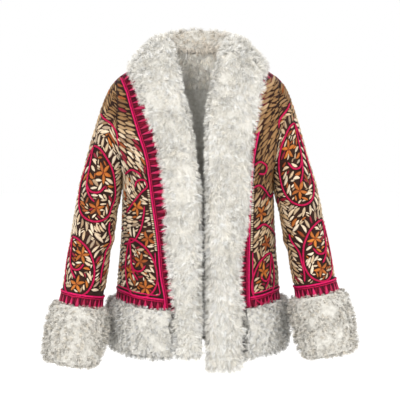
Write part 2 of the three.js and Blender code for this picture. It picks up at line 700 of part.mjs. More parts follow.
// The border goes on behind the neck, just below the fall of the collar.
function neckBand() {
  const steps = spread(RIDGE, ROLL.length - 1, 3 * (ROLL.length - 1 - RIDGE));
  const half = (hand) => steps.map((step) => {
    const turn = Math.min(-0.3, lookup(ROLL, "step", step, "turn")) * DEG;
    const fall = lookup(ROLL, "step", step, "outer");
    const away = smooth(-turn / (40 * DEG));
    return {
      inner: { turn: ARMS[hand].side > 0 ? turn : Math.PI - turn, z: fall - mix(4.5, 3, away) },
      outer: { turn: ARMS[hand].side > 0 ? turn : Math.PI - turn, z: fall - mix(19.5, 29, away) },
    };
  });
  const rows = [...half("left"), ...half("right").slice(0, -1).reverse()];
  return bodyBand("neck_border_back", rows.map((r) => r.inner), rows.map((r) => r.outer));
}

// Fur cuff and border band round a sleeve, on the sleeve's own points.
function sleeveStrip(arm, angle, from, to) {
  return spread(from, to, ACROSS).map((along) => {
    const n = sleeveNormal(angle, along, arm);
    return { p: sleevePoint(angle, along, arm), n, lay: n };
  });
}
function cuff(hand) {
  const arm = ARMS[hand];
  const outlines = SLEEVE_ANGLES.map((angle) => {
    const base = sleeveStrip(arm, angle, arm.length, arm.length - arm.cuff);
    return furOutline(base, () => CUFF_FUR, HEM_NOSE, FIT);
  });
  return loft("cuff_" + hand, COLOURS.fur, outlines);
}
function cuffBand(hand) {
  const arm = ARMS[hand];
  const low = arm.length - arm.cuff - TUCK;
  const strips = SLEEVE_ANGLES.map((angle) => sleeveStrip(arm, angle, low, low - CUFF_BAND));
  return band("cuff_border_" + hand, strips, false, FIT);
}

// A laid piece with the panels cut out of it, so that its underside follows theirs.
const { Manifold, Mesh } = await loadSolids();
async function loadSolids() {
  const solids = await Module();
  solids.setup();
  return solids;
}
function solidOf(mesh) {
  const { position } = mesh.geometry.attributes;
  return new Manifold(new Mesh({
    numProp: 3,
    vertProperties: position.array,
    triVerts: new Uint32Array(mesh.geometry.index.array),
  }));
}
function laid(mesh, panels, evenness = 0.28) {
  const cut = panels.reduce((solid, panel) => solid.subtract(panel), solidOf(mesh));
  const bodies = cut.decompose().sort((a, b) => b.volume() - a.volume());
  const { numProp, vertProperties, triVerts } = bodies[0].simplify(evenness).getMesh();
  const points = range(vertProperties.length / numProp).map((i) => {
    return V(...vertProperties.subarray(numProp * i, numProp * i + 3));
  });
  const faces = range(triVerts.length / 3).map((i) => [...triVerts.subarray(3 * i, 3 * i + 3)]);
  return closed(mesh.name, mesh.material.color.getHex(), points, faces);
}

const FINE = 0.12; // evenness of the thin bands
const coat = new THREE.Group();
const grown = {
  back: solidOf(backPanel(LAY)),
  front_left: solidOf(frontPanel("left", LAY)),
  front_right: solidOf(frontPanel("right", LAY)),
  sleeve_left: solidOf(sleeve("left", LAY)),
  sleeve_right: solidOf(sleeve("right", LAY)),
};
const body = [grown.back, grown.front_left, grown.front_right];
coat.add(backPanel(), laid(collar(), body));
coat.add(laid(neckBand(), [grown.back, grown.sleeve_left, grown.sleeve_right], FINE));
coat.add(hemTrim("hem_trim_back", BACK_TURNS, FIT));
coat.add(laid(hemBand("hem_border_back", BACK_TURNS), [grown.back], FINE));
for (const hand of ["left", "right"]) {
  const front = [grown["front_" + hand]];
  const arm = [grown["sleeve_" + hand]];
  const side = ARMS[hand].side;
  const furEnd = lookup(TRIM_EDGE, "z", -600, hand) + side * 7.5;
  const bandEnd = lookup(BORDER_EDGE, "z", HEM_FUR_TOP, hand) + side * 1.8;
  coat.add(frontPanel(hand), sleeve(hand));
  coat.add(laid(frontTrim(hand), front));
  coat.add(laid(frontBand(hand), [...front, ...arm], FINE));
  coat.add(laid(hemTrim("hem_trim_" + hand, hemTurns(hand, furEnd, 8)), front));
  coat.add(laid(hemBand("hem_border_" + hand, hemTurns(hand, bandEnd, 10)), front, FINE));
  coat.add(cuff(hand), cuffBand(hand));
}

export default coat;
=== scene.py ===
import math
import bpy
import numpy as np
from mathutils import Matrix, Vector
from mathutils.bvhtree import BVHTree


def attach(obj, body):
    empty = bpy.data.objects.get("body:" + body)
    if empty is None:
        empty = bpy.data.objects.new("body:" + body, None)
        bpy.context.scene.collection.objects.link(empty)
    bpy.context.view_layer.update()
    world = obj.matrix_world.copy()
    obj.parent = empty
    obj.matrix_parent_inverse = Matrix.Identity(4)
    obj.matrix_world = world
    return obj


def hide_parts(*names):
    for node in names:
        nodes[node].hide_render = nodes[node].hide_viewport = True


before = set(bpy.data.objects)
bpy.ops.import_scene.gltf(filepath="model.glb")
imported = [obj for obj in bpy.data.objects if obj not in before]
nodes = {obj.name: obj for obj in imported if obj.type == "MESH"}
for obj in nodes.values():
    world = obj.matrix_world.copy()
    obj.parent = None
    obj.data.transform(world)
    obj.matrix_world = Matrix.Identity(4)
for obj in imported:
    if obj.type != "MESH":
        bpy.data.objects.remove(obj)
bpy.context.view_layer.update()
rng = np.random.default_rng(7)
print("frame loaded,", len(nodes), "nodes")

# The coat's surfaces, in millimetres, as the solids have them

bow = 2.3  # roundness of the body sections
wall = 5.0  # sheepskin with its clipped fleece
neckTop, shoulderTop, armpit = 38.0, -23.0, -243.0
sideHem = -616.0
hemDrops = {"front": 8, "left": 26, "right": -2, "back": 4}  # how much lower the hem hangs there
hemFurTop, hemFurDip, hemBand = -513.0, 16.0, 26.0
armholeFront, armholeBack = 60.0, 64.0
bodyTable = {
    "z": [-680, -620, -540, -460, -380, -300, -243, -230, -200, -165, -133, -100, -60, -40, -23, -10,
          5, 20, 38, 60],
    "half": [184, 182, 182, 179, 172, 169, 168, 171, 181, 193, 201, 204, 199, 190, 180, 163,
             136, 105, 75, 41],
    "front": [158, 155, 148, 140, 133, 130, 129, 128, 125, 119, 112, 101, 88, 80, 72, 66, 60, 54, 46, 38],
    "back": [147, 143, 135, 126, 118, 115, 116, 116, 117, 116, 113, 108, 98, 91, 83, 76, 69, 62, 54, 46],
}
frontEdge = {
    "z": [-680, -315, -250, -207, -146, -94, -60, -25, 5, 22, 38],
    "left": [25, 25, 25, 24, 24, 27, 33, 41, 54, 63, 71],
    "right": [0, 0, -3, -11, -16, -28, -37, -46, -56, -64, -71],
}
trimEdge = {
    "z": [-680, -530, -471, -428, -377, -330, -246, -203, -160, -117, -70, -40, -15, 2],
    "left": [91, 90, 84, 84, 90, 101, 104, 107, 111, 119, 129, 135, 141, 142],
    "right": [-47, -47, -52, -56, -62, -64, -65, -76, -82, -101, -118, -130, -141, -142],
}
borderEdge = {
    "z": [-560, -500, -450, -377, -291, -237, -193, -146, -92, -54, -30, -18],
    "left": [111, 111, 111, 112, 115, 118, 123, 132, 147, 158, 167, 174],
    "right": [-71, -73, -82, -88, -100, -107, -114, -129, -146, -157, -167, -174],
}
collarFall = {"turn": [-90, -68, -45, -22, 0], "outer": [-22, -20, -15, -5, 1]}
bodyFolds = {  # soft upright folds: angle from the left side towards the front
    "turn": [28, 47, 133, 152, 208, 236, 268, 301, 333],
    "wide": [11, 10, 10, 11, 13, 12, 15, 12, 12],
    "depth": [-4, 4, 4.5, -4.5, 4, -4, 5, -4.5, 3.5],
    "top": [-230, -260, -280, -220, -300, -250, -330, -270, -310],
    "foot": [-640, -660, -660, -640, -660, -660, -660, -660, -660],
}
sleeveFolds = {  # along the arm and round it, from the outer side forward
    "along": [40, 84, 112, 140, 150, 196],
    "turn": [140, 112, 150, 122, 230, 60],
    "wide": [15, 15, 14, 15, 18, 16],
    "span": [48, 50, 42, 50, 55, 46],
    "depth": [-5, -5, 4, -5, -3.5, -3],
    "slant": [0.2, 0.12, -0.05, -0.14, 0.15, -0.15],
}
arms = {
    "left": {"side": 1, "x": 217, "lean": 11.2, "bend": 112, "length": 359, "cuff": 120},
    "right": {"side": -1, "x": 218, "lean": 8.9, "bend": 114, "length": 377, "cuff": 116},
}
sleeveSize = {"wide": 47, "deep": 60, "wristWide": 45, "wristDeep": 48, "z": -262, "y": -14}


# Ease from 0 to 1: three times t squared less twice t cubed, with t held between 0 and 1.
def smooth(t):
    t = np.clip(t, 0, 1)
    return t * t * (3 - 2 * t)


# The value a share t of the way from a to b.
def mix(a, b, t):
    return a + (b - a) * t


# A power of the size of v, with its sign kept.
def power(v, e):
    return np.sign(v) * np.abs(v) ** e


# A table's column at a place: a cubic between two rows, with each row's slope taken from its neighbours.
def lookup(table, key, place, column):
    xs, ys = np.array(table[key], float), np.array(table[column], float)
    place = np.asarray(place, float)
    n = len(xs)
    i = np.clip(np.searchsorted(xs, place, "right") - 1, 0, n - 2)
    lo, hi = np.maximum(np.arange(n) - 1, 0), np.minimum(np.arange(n) + 1, n - 1)
    slope = (ys[hi] - ys[lo]) / (xs[hi] - xs[lo])
    step = xs[i + 1] - xs[i]
    t = np.clip((place - xs[i]) / step, 0, 1)
    ease = t * t * (3 - 2 * t)
    level = mix(ys[i], ys[i + 1], ease)
    return level + step * (t * (1 - t) ** 2 * slope[i] + t * t * (t - 1) * slope[i + 1])


# Folds: a sum of bells round the body, each growing downwards from its top.
def bodyFold(turn, z):
    out = np.zeros(np.broadcast(turn, z).shape)
    for i, at in enumerate(bodyFolds["turn"]):
        apart = np.abs((np.degrees(turn) - at + 540) % 360 - 180)
        down = smooth((bodyFolds["top"][i] - z) / (bodyFolds["top"][i] - bodyFolds["foot"][i]))
        out = out + bodyFolds["depth"][i] * down * np.exp(-((apart / bodyFolds["wide"][i]) ** 2))
    return out


# Body: a superellipse at each height, half wide and front or back deep, moved out by the folds.
def bodyPoint(turn, z):
    turn, z = np.broadcast_arrays(np.asarray(turn, float), np.asarray(z, float))
    deep = np.where(np.sin(turn) > 0, lookup(bodyTable, "z", z, "front"), lookup(bodyTable, "z", z, "back"))
    x = lookup(bodyTable, "z", z, "half") * power(np.cos(turn), 2 / bow)
    y = -deep * power(np.sin(turn), 2 / bow)
    out = 1 + bodyFold(turn, z) / np.maximum(np.hypot(x, y), 1)
    return np.stack([x * out, y * out, z], -1)


# Normals of a surface: the cross product of its two slopes, each taken over a small step to both sides.
def crossNormal(surface, a, b, stepA, stepB):
    along = surface(a + stepA, b) - surface(a - stepA, b)
    up = surface(a, b + stepB) - surface(a, b - stepB)
    n = np.cross(up, along)
    return n / np.maximum(np.linalg.norm(n, axis=-1, keepdims=True), 1e-9)


# Normals of the body: by that rule, with steps of 0.02 in angle and 1.5 mm in height.
def bodyNormal(turn, z):
    return crossNormal(bodyPoint, turn, z, 0.02, 1.5)


# The superellipse turned round: the angle at which the body's section reaches an x.
def turnAtX(x, z):
    return np.arccos(power(np.clip(x / lookup(bodyTable, "z", z, "half"), -1, 1), bow / 2))


# The same for a depth in front of the middle, or behind it.
def turnAtDepth(depth, z, column):
    return np.arcsin(power(np.clip(depth / lookup(bodyTable, "z", z, column), 0, 1), bow / 2))


# Armhole: its height goes with the cosine of its own angle, from the shoulder down to the armpit.
def armholeHeight(angle):
    return (shoulderTop + armpit) / 2 + (shoulderTop - armpit) / 2 * np.cos(angle)


# Lower edge of the skins: lower by the square of the sine towards the front, with one more drop at the
# front edge, and lower by the sine towards the back.
def panelHem(turn):
    forward = np.maximum(0, np.sin(turn))
    drop = np.where(np.cos(turn) > 0.01, hemDrops["left"], hemDrops["right"])
    back = hemDrops["back"] * np.maximum(0, -np.sin(turn))
    edge = (drop - hemDrops["front"]) * smooth((forward - 0.9) / 0.1)
    return sideHem - hemDrops["front"] * forward**2 - edge - back


# Where the hem's wool starts: a line that dips by the square of the sine at the front, and a little behind.
def hemFurLine(turn):
    forward = np.sin(turn)
    return hemFurTop - hemFurDip * np.maximum(0, forward) ** 2 - hemDrops["back"] * np.maximum(0, -forward)


# Lower edge of the collar's outside, from the middle of the back round to the shoulder.
def collarLine(turn):
    back = np.degrees(np.where(np.cos(turn) > 0, turn, -np.pi - turn))
    return lookup(collarFall, "turn", np.clip(back, -90, 0), "outer")


# Sleeve: an oval section carried down a leaning line, and above it a curve from each point of the armhole.
def armPoint(angle, along, arm):
    side, lean = arm["side"], math.radians(arm["lean"])
    share = along / arm["length"]
    fold = np.zeros(np.broadcast(angle, along).shape)
    for i, at in enumerate(sleeveFolds["turn"]):
        apart = (np.degrees(angle) - at) % 360
        apart = (apart + 540) % 360 - 180
        off = (along - sleeveFolds["along"][i] - sleeveFolds["slant"][i] * apart) / sleeveFolds["wide"][i]
        fold = fold + sleeveFolds["depth"][i] * np.exp(-(off**2) - (apart / sleeveFolds["span"][i]) ** 2)
    wide = mix(sleeveSize["wide"], sleeveSize["wristWide"], smooth(share)) + fold
    deep = mix(sleeveSize["deep"], sleeveSize["wristDeep"], smooth(share)) + fold
    forward = arm["bend"] * (0.75 * share + 0.25 * share * np.abs(share))
    x = side * (arm["x"] + math.sin(lean) * along + math.cos(lean) * wide * np.cos(angle))
    y = sleeveSize["y"] - forward - deep * np.sin(angle)
    z = sleeveSize["z"] - math.cos(lean) * along + math.sin(lean) * wide * np.cos(angle)
    return np.stack(np.broadcast_arrays(x, y, z), -1)


# Angle on the body of a point of the armhole: its depth there grows with the sine of its own angle.
def armholeTurn(angle, side):
    z = armholeHeight(angle)
    a = np.abs((angle + np.pi) % (2 * np.pi) - np.pi)
    isFront = np.sin(angle) >= 0
    front = turnAtDepth(armholeFront * np.maximum(0, np.sin(a)), z, "front")
    back = turnAtDepth(armholeBack * np.maximum(0, np.sin(a)), z, "back")
    turn = np.where(isFront, front, -back)
    return turn if side > 0 else np.pi - turn


# Whole sleeve: along is 0 to its length down the arm, and -1 to 0 over the head, where each point follows
# a cubic Bezier curve from the armhole to the top ring, leaving the shoulder outwards and the armpit down.
def sleevePoint(angle, along, arm):
    angle, along = np.broadcast_arrays(np.asarray(angle, float), np.asarray(along, float))
    side = arm["side"]
    down = (1 - np.cos(angle)) / 2
    ease = smooth(down)
    start = bodyPoint(armholeTurn(angle, side), armholeHeight(angle))
    end = armPoint(angle, np.zeros_like(along), arm)
    leave = np.stack([side * mix(0.82, 0.12, down**1.5), 0 * down, mix(-0.57, -0.99, down)], -1)
    leave /= np.linalg.norm(leave, axis=-1, keepdims=True)
    control = start + leave * mix(34, 7, ease)[..., None]
    lean = math.radians(arm["lean"])
    forward = 0 * down - 0.75 * arm["bend"] / arm["length"]
    sideways = side * (math.sin(lean) + mix(0.11, 0, ease))
    heading = np.stack([sideways, forward, 0 * down - math.cos(lean)], -1)
    before = end - heading * mix(118, 8, ease)[..., None]
    t = np.clip(along + 1, 0, 1)[..., None]
    cap = start * (1 - t) ** 3 + 3 * control * t * (1 - t) ** 2 + 3 * before * t * t * (1 - t) + end * t**3
    return np.where((along < 0)[..., None], cap, armPoint(angle, np.maximum(along, 0), arm))


# Normals of the sleeve: as for the body, kept a step away from the ends of its two parts.
def sleeveNormal(angle, along, arm):
    low = along < 0
    place = np.where(low, np.clip(along, -0.98, -0.02), np.maximum(along, 2))
    step = np.where(low, 0.02, 2.0)
    surface = lambda a, s: sleevePoint(a, s, arm)
    return -arm["side"] * crossNormal(surface, angle, place, 0.03, step)


# Charts: each cloth laid out flat in millimetres, with the place and the normal of its points

# Body chart: s runs round from the middle of the front, + to the wearer's left, and t is the height.
def makeBodyChart(step=4.0):
    t = np.arange(-656, 38.5, step)
    turn = np.radians(np.linspace(-90, 270, 721))
    points = bodyPoint(turn[None, :], t[:, None])
    cells = np.linalg.norm(np.diff(points, axis=1), axis=2)
    arc = np.concatenate([np.zeros((len(t), 1)), np.cumsum(cells, 1)], 1)
    arc = arc - arc[:, [360]]
    s = np.arange(-520, 520.5, step)
    turns = np.stack([np.interp(-s, row, turn) for row in arc])
    edge = np.stack([-arc[:, -1], -arc[:, 0]], 1)  # how far round each row goes
    grid = np.broadcast_to(t[:, None], turns.shape)
    return {"s0": s[0], "t0": t[0], "step": step, "p": bodyPoint(turns, grid), "n": bodyNormal(turns, grid),
            "turn": turns, "edge": edge}


# Sleeve chart: s runs round from the outer side, + forward, and t down the arm, with the head above 0.
def makeSleeveChart(arm, step=4.0):
    angle = np.radians(np.linspace(-180, 180, 361))
    ring = sleevePoint(angle, np.zeros_like(angle), arm)
    arc = np.concatenate([[0], np.cumsum(np.linalg.norm(np.diff(ring, axis=0), axis=1))])
    arc -= arc[180]
    s = np.arange(-180, 180.5, step)
    angles = np.interp(s, arc, angle)
    t = np.arange(-260, arm["length"] + 1, step)
    down = np.linspace(-1, 0, 25)
    cap = sleevePoint(angles[None, :], down[:, None], arm)
    length = np.linalg.norm(np.diff(cap, axis=0), axis=2).sum(0)
    along = np.where(t[:, None] < 0, np.maximum(t[:, None] / length[None, :], -1), t[:, None])
    grid = np.broadcast_to(angles[None, :], along.shape)
    return {"s0": s[0], "t0": t[0], "step": step, "p": sleevePoint(grid, along, arm),
            "n": sleeveNormal(grid, along, arm), "head": length, "s": s}


# Value of a chart between its grid's points: the four round a place, each by its share.
def sample(chart, s, t, name="p"):
    grid = chart[name]
    i = np.clip((np.asarray(t, float) - chart["t0"]) / chart["step"], 0, grid.shape[0] - 1.001)
    j = np.clip((np.asarray(s, float) - chart["s0"]) / chart["step"], 0, grid.shape[1] - 1.001)
    i0, j0 = i.astype(int), j.astype(int)
    fi, fj = i - i0, j - j0
    if grid.ndim == 3:
        fi, fj = fi[..., None], fj[..., None]
    return ((grid[i0, j0] * (1 - fj) + grid[i0, j0 + 1] * fj) * (1 - fi)
            + (grid[i0 + 1, j0] * (1 - fj) + grid[i0 + 1, j0 + 1] * fj) * fi)


# Place above the cloth: the chart's point moved out along its normal.
def onChart(chart, s, t, lift):
    return sample(chart, s, t) + sample(chart, s, t, "n") * np.asarray(lift)[..., None]


charts = {"body": makeBodyChart()}
for hand, arm in arms.items():
    charts[hand] = makeSleeveChart(arm)


# Place round the body on the chart, for an angle and a height: read back from the chart's nearest row.
def sAtTurn(turn, z):
    chart = charts["body"]
    s = chart["s0"] + chart["step"] * np.arange(chart["turn"].shape[1])
    row = np.clip(np.rint((z - chart["t0"]) / chart["step"]).astype(int), 0, len(chart["turn"]) - 1)
    turn = np.where(turn < -np.pi / 2 - 1e-6, turn + 2 * np.pi, turn)
    return np.array([np.interp(-a, -chart["turn"][r], s) for a, r in zip(turn, row)])


print("charts laid out")

# Mesh and material helpers


# Mesh from arrays: points in millimetres, faces of one size, and if given a tint and a UV place per point.
def makeMesh(name, points, faces, material, tint=None, uv=None, matIndex=None):
    mesh = bpy.data.meshes.new(name)
    faces = np.asarray(faces)
    mesh.vertices.add(len(points))
    mesh.vertices.foreach_set("co", (np.asarray(points, np.float64) / 1000).astype(np.float32).ravel())
    mesh.loops.add(faces.size)
    mesh.loops.foreach_set("vertex_index", faces.astype(np.int32).ravel())
    mesh.polygons.add(len(faces))
    mesh.polygons.foreach_set("loop_start", np.arange(0, faces.size, faces.shape[1], dtype=np.int32))
    mesh.polygons.foreach_set("use_smooth", np.ones(len(faces), bool))
    materials = material if isinstance(material, list) else [material]
    for m in materials:
        mesh.materials.append(m)
    if matIndex is not None:
        mesh.polygons.foreach_set("material_index", np.asarray(matIndex, np.int32))
    if tint is not None:
        layer = mesh.attributes.new("tint", "FLOAT_COLOR", "POINT")
        rgba = np.concatenate([tint, np.ones((len(tint), 1))], 1).astype(np.float32)
        layer.data.foreach_set("color", rgba.ravel())
    if uv is not None:
        layer = mesh.uv_layers.new(name="UVMap")
        layer.data.foreach_set("uv", np.asarray(uv, np.float32)[faces.ravel()].ravel())
    mesh.update(calc_edges=True)
    mesh.validate()
    piece = bpy.data.objects.new(name, mesh)
    bpy.context.scene.collection.objects.link(piece)
    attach(piece, "root")
    return piece


# Faces between the rows and columns of a grid of points, which may join up round each row.
def gridFaces(rows, cols, wrap=False):
    i = np.arange(rows - 1)[:, None] * cols
    j = np.arange(cols if wrap else cols - 1)[None, :]
    k = (j + 1) % cols
    return np.stack([i + j, i + k, i + cols + k, i + cols + j], -1).reshape(-1, 4)


# A wall between two equal grids of points, closed round its four edges.
def wallFaces(rows, cols):
    face = gridFaces(rows, cols)
    far = rows * cols
    across, down = np.arange(cols - 2, -1, -1), np.arange(rows - 2, 0, -1)
    rim = np.concatenate([np.arange(cols), np.arange(1, rows) * cols + cols - 1,
                          (rows - 1) * cols + across, down * cols])
    nextRim = np.roll(rim, -1)
    edge = np.stack([rim, rim + far, nextRim + far, nextRim], -1)
    return face, face[:, ::-1] + far, edge


# Linear colour of a code such as "#40261A".
def srgb(code):
    c = np.array([int(code[i:i + 2], 16) for i in (1, 3, 5)]) / 255
    return np.where(c < 0.04045, c / 12.92, ((c + 0.055) / 1.055) ** 2.4)


# Material with its roughness set, and its node tree and shader.
def newMaterial(name, rough=0.8):
    material = bpy.data.materials.new(name)
    material.use_nodes = True
    tree = material.node_tree
    shader = tree.nodes["Principled BSDF"]
    shader.inputs["Roughness"].default_value = rough
    return material, tree, shader


# One link between two sockets.
def link(tree, a, b):
    tree.links.new(a, b)


# The tint that each point carries.
def tintNode(tree):
    tint = tree.nodes.new("ShaderNodeAttribute")
    tint.attribute_name = "tint"
    return tint


# The base colour: a colour made darker or lighter by a factor that varies over the surface.
def scaledColour(tree, colour, factor, shader):
    scaled = tree.nodes.new("ShaderNodeVectorMath")
    scaled.operation = "SCALE"
    link(tree, colour, scaled.inputs[0])
    link(tree, factor, scaled.inputs["Scale"])
    link(tree, scaled.outputs["Vector"], shader.inputs["Base Color"])


# A range carried to another one: (low, high) becomes (toLow, toHigh).
def rangeNode(tree, source, span, to):
    node = tree.nodes.new("ShaderNodeMapRange")
    for socket, value in zip(("From Min", "From Max", "To Min", "To Max"), (*span, *to)):
        node.inputs[socket].default_value = value
    link(tree, source, node.inputs["Value"])
    return node


# Noise over the piece's own Object coordinates, which are in metres.
def noiseNode(tree, scale, detail=3.0, rough=0.55):
    coords = tree.nodes.new("ShaderNodeTexCoord")
    noise = tree.nodes.new("ShaderNodeTexNoise")
    noise.inputs["Scale"].default_value = scale
    noise.inputs["Detail"].default_value = detail
    noise.inputs["Roughness"].default_value = rough
    link(tree, coords.outputs["Object"], noise.inputs["Vector"])
    return noise


# Colours by value: each stop is a place from 0 to 1 and a colour's code.
def rampNode(tree, source, stops):
    ramp = tree.nodes.new("ShaderNodeValToRGB")
    while len(ramp.color_ramp.elements) < len(stops):
        ramp.color_ramp.elements.new(0.5)
    for element, (at, colour) in zip(ramp.color_ramp.elements, stops):
        element.position = at
        element.color = (*srgb(colour), 1)
    link(tree, source, ramp.inputs["Fac"])
    return ramp


# Bump: heights from 0 to 1 over a distance in metres, turned into slopes of the normal.
def bumpNode(tree, source, strength, distance, shader):
    bump = tree.nodes.new("ShaderNodeBump")
    bump.inputs["Strength"].default_value = strength
    bump.inputs["Distance"].default_value = distance
    link(tree, source, bump.inputs["Height"])
    link(tree, bump.outputs["Normal"], shader.inputs["Normal"])
    return bump


suedeLook = {"stops": [(0.3, "#1A0E09"), (0.55, "#2B1810"), (0.78, "#40261A")], "nap": 55, "grain": 900,
             "bump": 0.5, "depth": 0.0008, "rough": 0.92, "specular": 0.15, "sheen": 0.05}


# Suede ground: a soft nap of dark browns, with a fine grain in the bump.
def suedeMaterial():
    look = suedeLook
    material, tree, shader = newMaterial("suede", look["rough"])
    nap = noiseNode(tree, look["nap"], 5)
    ramp = rampNode(tree, nap.outputs["Fac"], look["stops"])
    link(tree, ramp.outputs["Color"], shader.inputs["Base Color"])
    grain = noiseNode(tree, look["grain"], 3)
    bumpNode(tree, grain.outputs["Fac"], look["bump"], look["depth"], shader)
    shader.inputs["Specular IOR Level"].default_value = look["specular"]
    shader.inputs["Sheen Weight"].default_value = look["sheen"]
    return material


fleeceLook = {"clumps": 130, "fine": 420, "bump": 0.9, "depth": 0.004, "rough": 0.95, "sheen": 0.2,
              "shadeFrom": -0.1, "shadeTo": -0.4}


# Clipped fleece: clumps of pale wool with deep soft bumps. Between two heights of the coat, in metres, it
# gets darker by a factor, as the inside does where no light reaches it.
def fleeceMaterial(name, dark, light, foot=1.0):
    look = fleeceLook
    material, tree, shader = newMaterial(name, look["rough"])
    clumps = noiseNode(tree, look["clumps"], 6, 0.65)
    ramp = rampNode(tree, clumps.outputs["Fac"], [(0.3, dark), (0.65, light)])
    coords = tree.nodes.new("ShaderNodeTexCoord")
    height = tree.nodes.new("ShaderNodeSeparateXYZ")
    link(tree, coords.outputs["Object"], height.inputs["Vector"])
    shade = rangeNode(tree, height.outputs["Z"], (look["shadeTo"], look["shadeFrom"]), (foot, 1))
    scaledColour(tree, ramp.outputs["Color"], shade.outputs["Result"], shader)
    fine = noiseNode(tree, look["fine"], 4, 0.7)
    bumpNode(tree, fine.outputs["Fac"], look["bump"], look["depth"], shader)
    shader.inputs["Sheen Weight"].default_value = look["sheen"]
    return material


# the tint's factors between the threads and on their crests: painted shade in the grooves, painted
# highlight on top
threadLook = {"wander": 1.2, "between": 0.52, "crestHighlight": 1.14, "depth": 0.0006}


# Thread: the piece's own tint, with fine parallel strands across its UV, in the bump and in colour, where
# the colour is painted shade between the strands and a painted highlight on them.
def threadMaterial(name, threads, rough, strength=0.6, shine=0.3):
    material, tree, shader = newMaterial(name, rough)
    uv = tree.nodes.new("ShaderNodeUVMap")
    uv.uv_map = "UVMap"
    wave = tree.nodes.new("ShaderNodeTexWave")
    wave.wave_type = "BANDS"
    wave.bands_direction = "Y"
    wave.inputs["Scale"].default_value = threads
    wave.inputs["Distortion"].default_value = threadLook["wander"]
    wave.inputs["Detail"].default_value = 1.0
    wave.inputs["Detail Scale"].default_value = 0.6
    link(tree, uv.outputs["UV"], wave.inputs["Vector"])
    # painted shade in the grooves between the threads, and a painted highlight on their crests
    shade = rangeNode(tree, wave.outputs["Fac"], (0, 1), (threadLook["between"], threadLook["crestHighlight"]))
    scaledColour(tree, tintNode(tree).outputs["Color"], shade.outputs["Result"], shader)
    bumpNode(tree, wave.outputs["Fac"], strength, threadLook["depth"], shader)
    shader.inputs["Specular IOR Level"].default_value = shine
    return material


woolLook = {"clumps": 38, "darker": 0.93, "lighter": 1.05, "rough": 0.75, "specular": 0.3, "sheen": 0.25}


# Wool: the strand's own tint, broken by a soft noise over the coat.
def woolMaterial():
    look = woolLook
    material, tree, shader = newMaterial("wool", look["rough"])
    clumps = noiseNode(tree, look["clumps"], 3)
    shade = rangeNode(tree, clumps.outputs["Fac"], (0.3, 0.7), (look["darker"], look["lighter"]))
    scaledColour(tree, tintNode(tree).outputs["Color"], shade.outputs["Result"], shader)
    shader.inputs["Specular IOR Level"].default_value = look["specular"]
    shader.inputs["Sheen Weight"].default_value = look["sheen"]
    return material


# fleece and underfur: dark, light, and the factor at the foot; threads: how close they lie, roughness,
# strength of the bump, and shine
materials = {
    "suede": suedeMaterial(),
    "fleece": fleeceMaterial("fleece", "#CBC7BB", "#F4F2EB", 0.25),
    "underfur": fleeceMaterial("underfur", "#B4B0A6", "#D6D3CB"),
    "silk": threadMaterial("silk", 2.2, 0.55),
    "cord": threadMaterial("cord", 0.6, 0.6, 0.4, 0.15),
    "bandCloth": threadMaterial("bandCloth", 0.5, 0.8, 0.3, 0.1),
    "wool": woolMaterial(),
}
print("materials made")

# Skins: the five panels as walls with suede outside and fleece inside

lowRows, armholeRows, shoulderRows = 9, 9, 4
flatCut = {"back": (0.55, 0.66), "front_left": (0.30, 0.66), "front_right": (0.30, 0.66),
           "sleeve_left": (0.36, 0.62), "sleeve_right": (0.36, 0.62)}  # metres
allRows = lowRows + armholeRows + shoulderRows


# Height of a row of a body panel: even to the armpit, by the armhole's own angle, then even to the neck.
def rowHeight(row, hem):
    angle = np.pi * (1 - (row - lowRows) / armholeRows)
    low = mix(hem, armpit, np.clip(row / lowRows, 0, 1))
    top = mix(shoulderTop, neckTop, (row - lowRows - armholeRows) / shoulderRows)
    return np.where(row <= lowRows, low, np.where(row <= lowRows + armholeRows, armholeHeight(angle), top))


# Angle of a front's or the back's side edge: straight up to the armpit, and then round the armhole.
def sideEdge(row, column):
    angle = np.pi * np.clip(1 - (row - lowRows) / armholeRows, 0, 1)
    depth = (armholeFront if column == "front" else armholeBack) * np.maximum(0, np.sin(angle))
    return turnAtDepth(depth, armholeHeight(angle), column)


# Area of a grid of points, from the cross product of each cell's two sides, in square metres.
def gridArea(points):
    cells = np.cross(np.diff(points, axis=0)[:, :-1], np.diff(points, axis=1)[:-1])
    return np.linalg.norm(cells, axis=2).sum() / 1e6


# Panel: points between its two edges and from the hem to the neck, and the same a wall's thickness in.
def bodyPanel(name, edges, cols):
    row = np.linspace(0, allRows, allRows * 3 + 1)
    start, stop = edges(row)
    share = np.linspace(0, 1, cols + 1)
    turn = mix(start[:, None], stop[:, None], share[None, :])
    z = rowHeight(row[:, None], panelHem(turn))
    outer, normal = bodyPoint(turn, z), bodyNormal(turn, z)
    inner = outer - normal * wall
    outside, inside, edge = wallFaces(len(row), cols + 1)
    faces = np.concatenate([outside, inside, edge])
    index = np.repeat([0, 1, 1], [len(outside), len(inside), len(edge)])
    points = np.concatenate([outer.reshape(-1, 3), inner.reshape(-1, 3)])
    if edges is not backEdges and name.endswith("left"):
        faces = faces[:, ::-1]
    piece = makeMesh(name, points, faces, [materials["suede"], materials["fleece"]], matIndex=index)
    return piece, gridArea(outer)


# Edges of a panel at each row, as angles: a front goes from its side to its front edge, and the back from
# side to side.
def frontEdges(hand):
    def edges(row):
        z = rowHeight(row, sideHem - 8)
        side = sideEdge(row, "front")
        return (side if hand == "left" else np.pi - side), turnAtX(lookup(frontEdge, "z", z, hand), z)
    return edges


# The back's two edges, mirrored about the middle of the back.
def backEdges(row):
    side = sideEdge(row, "back")
    return -side, side - np.pi


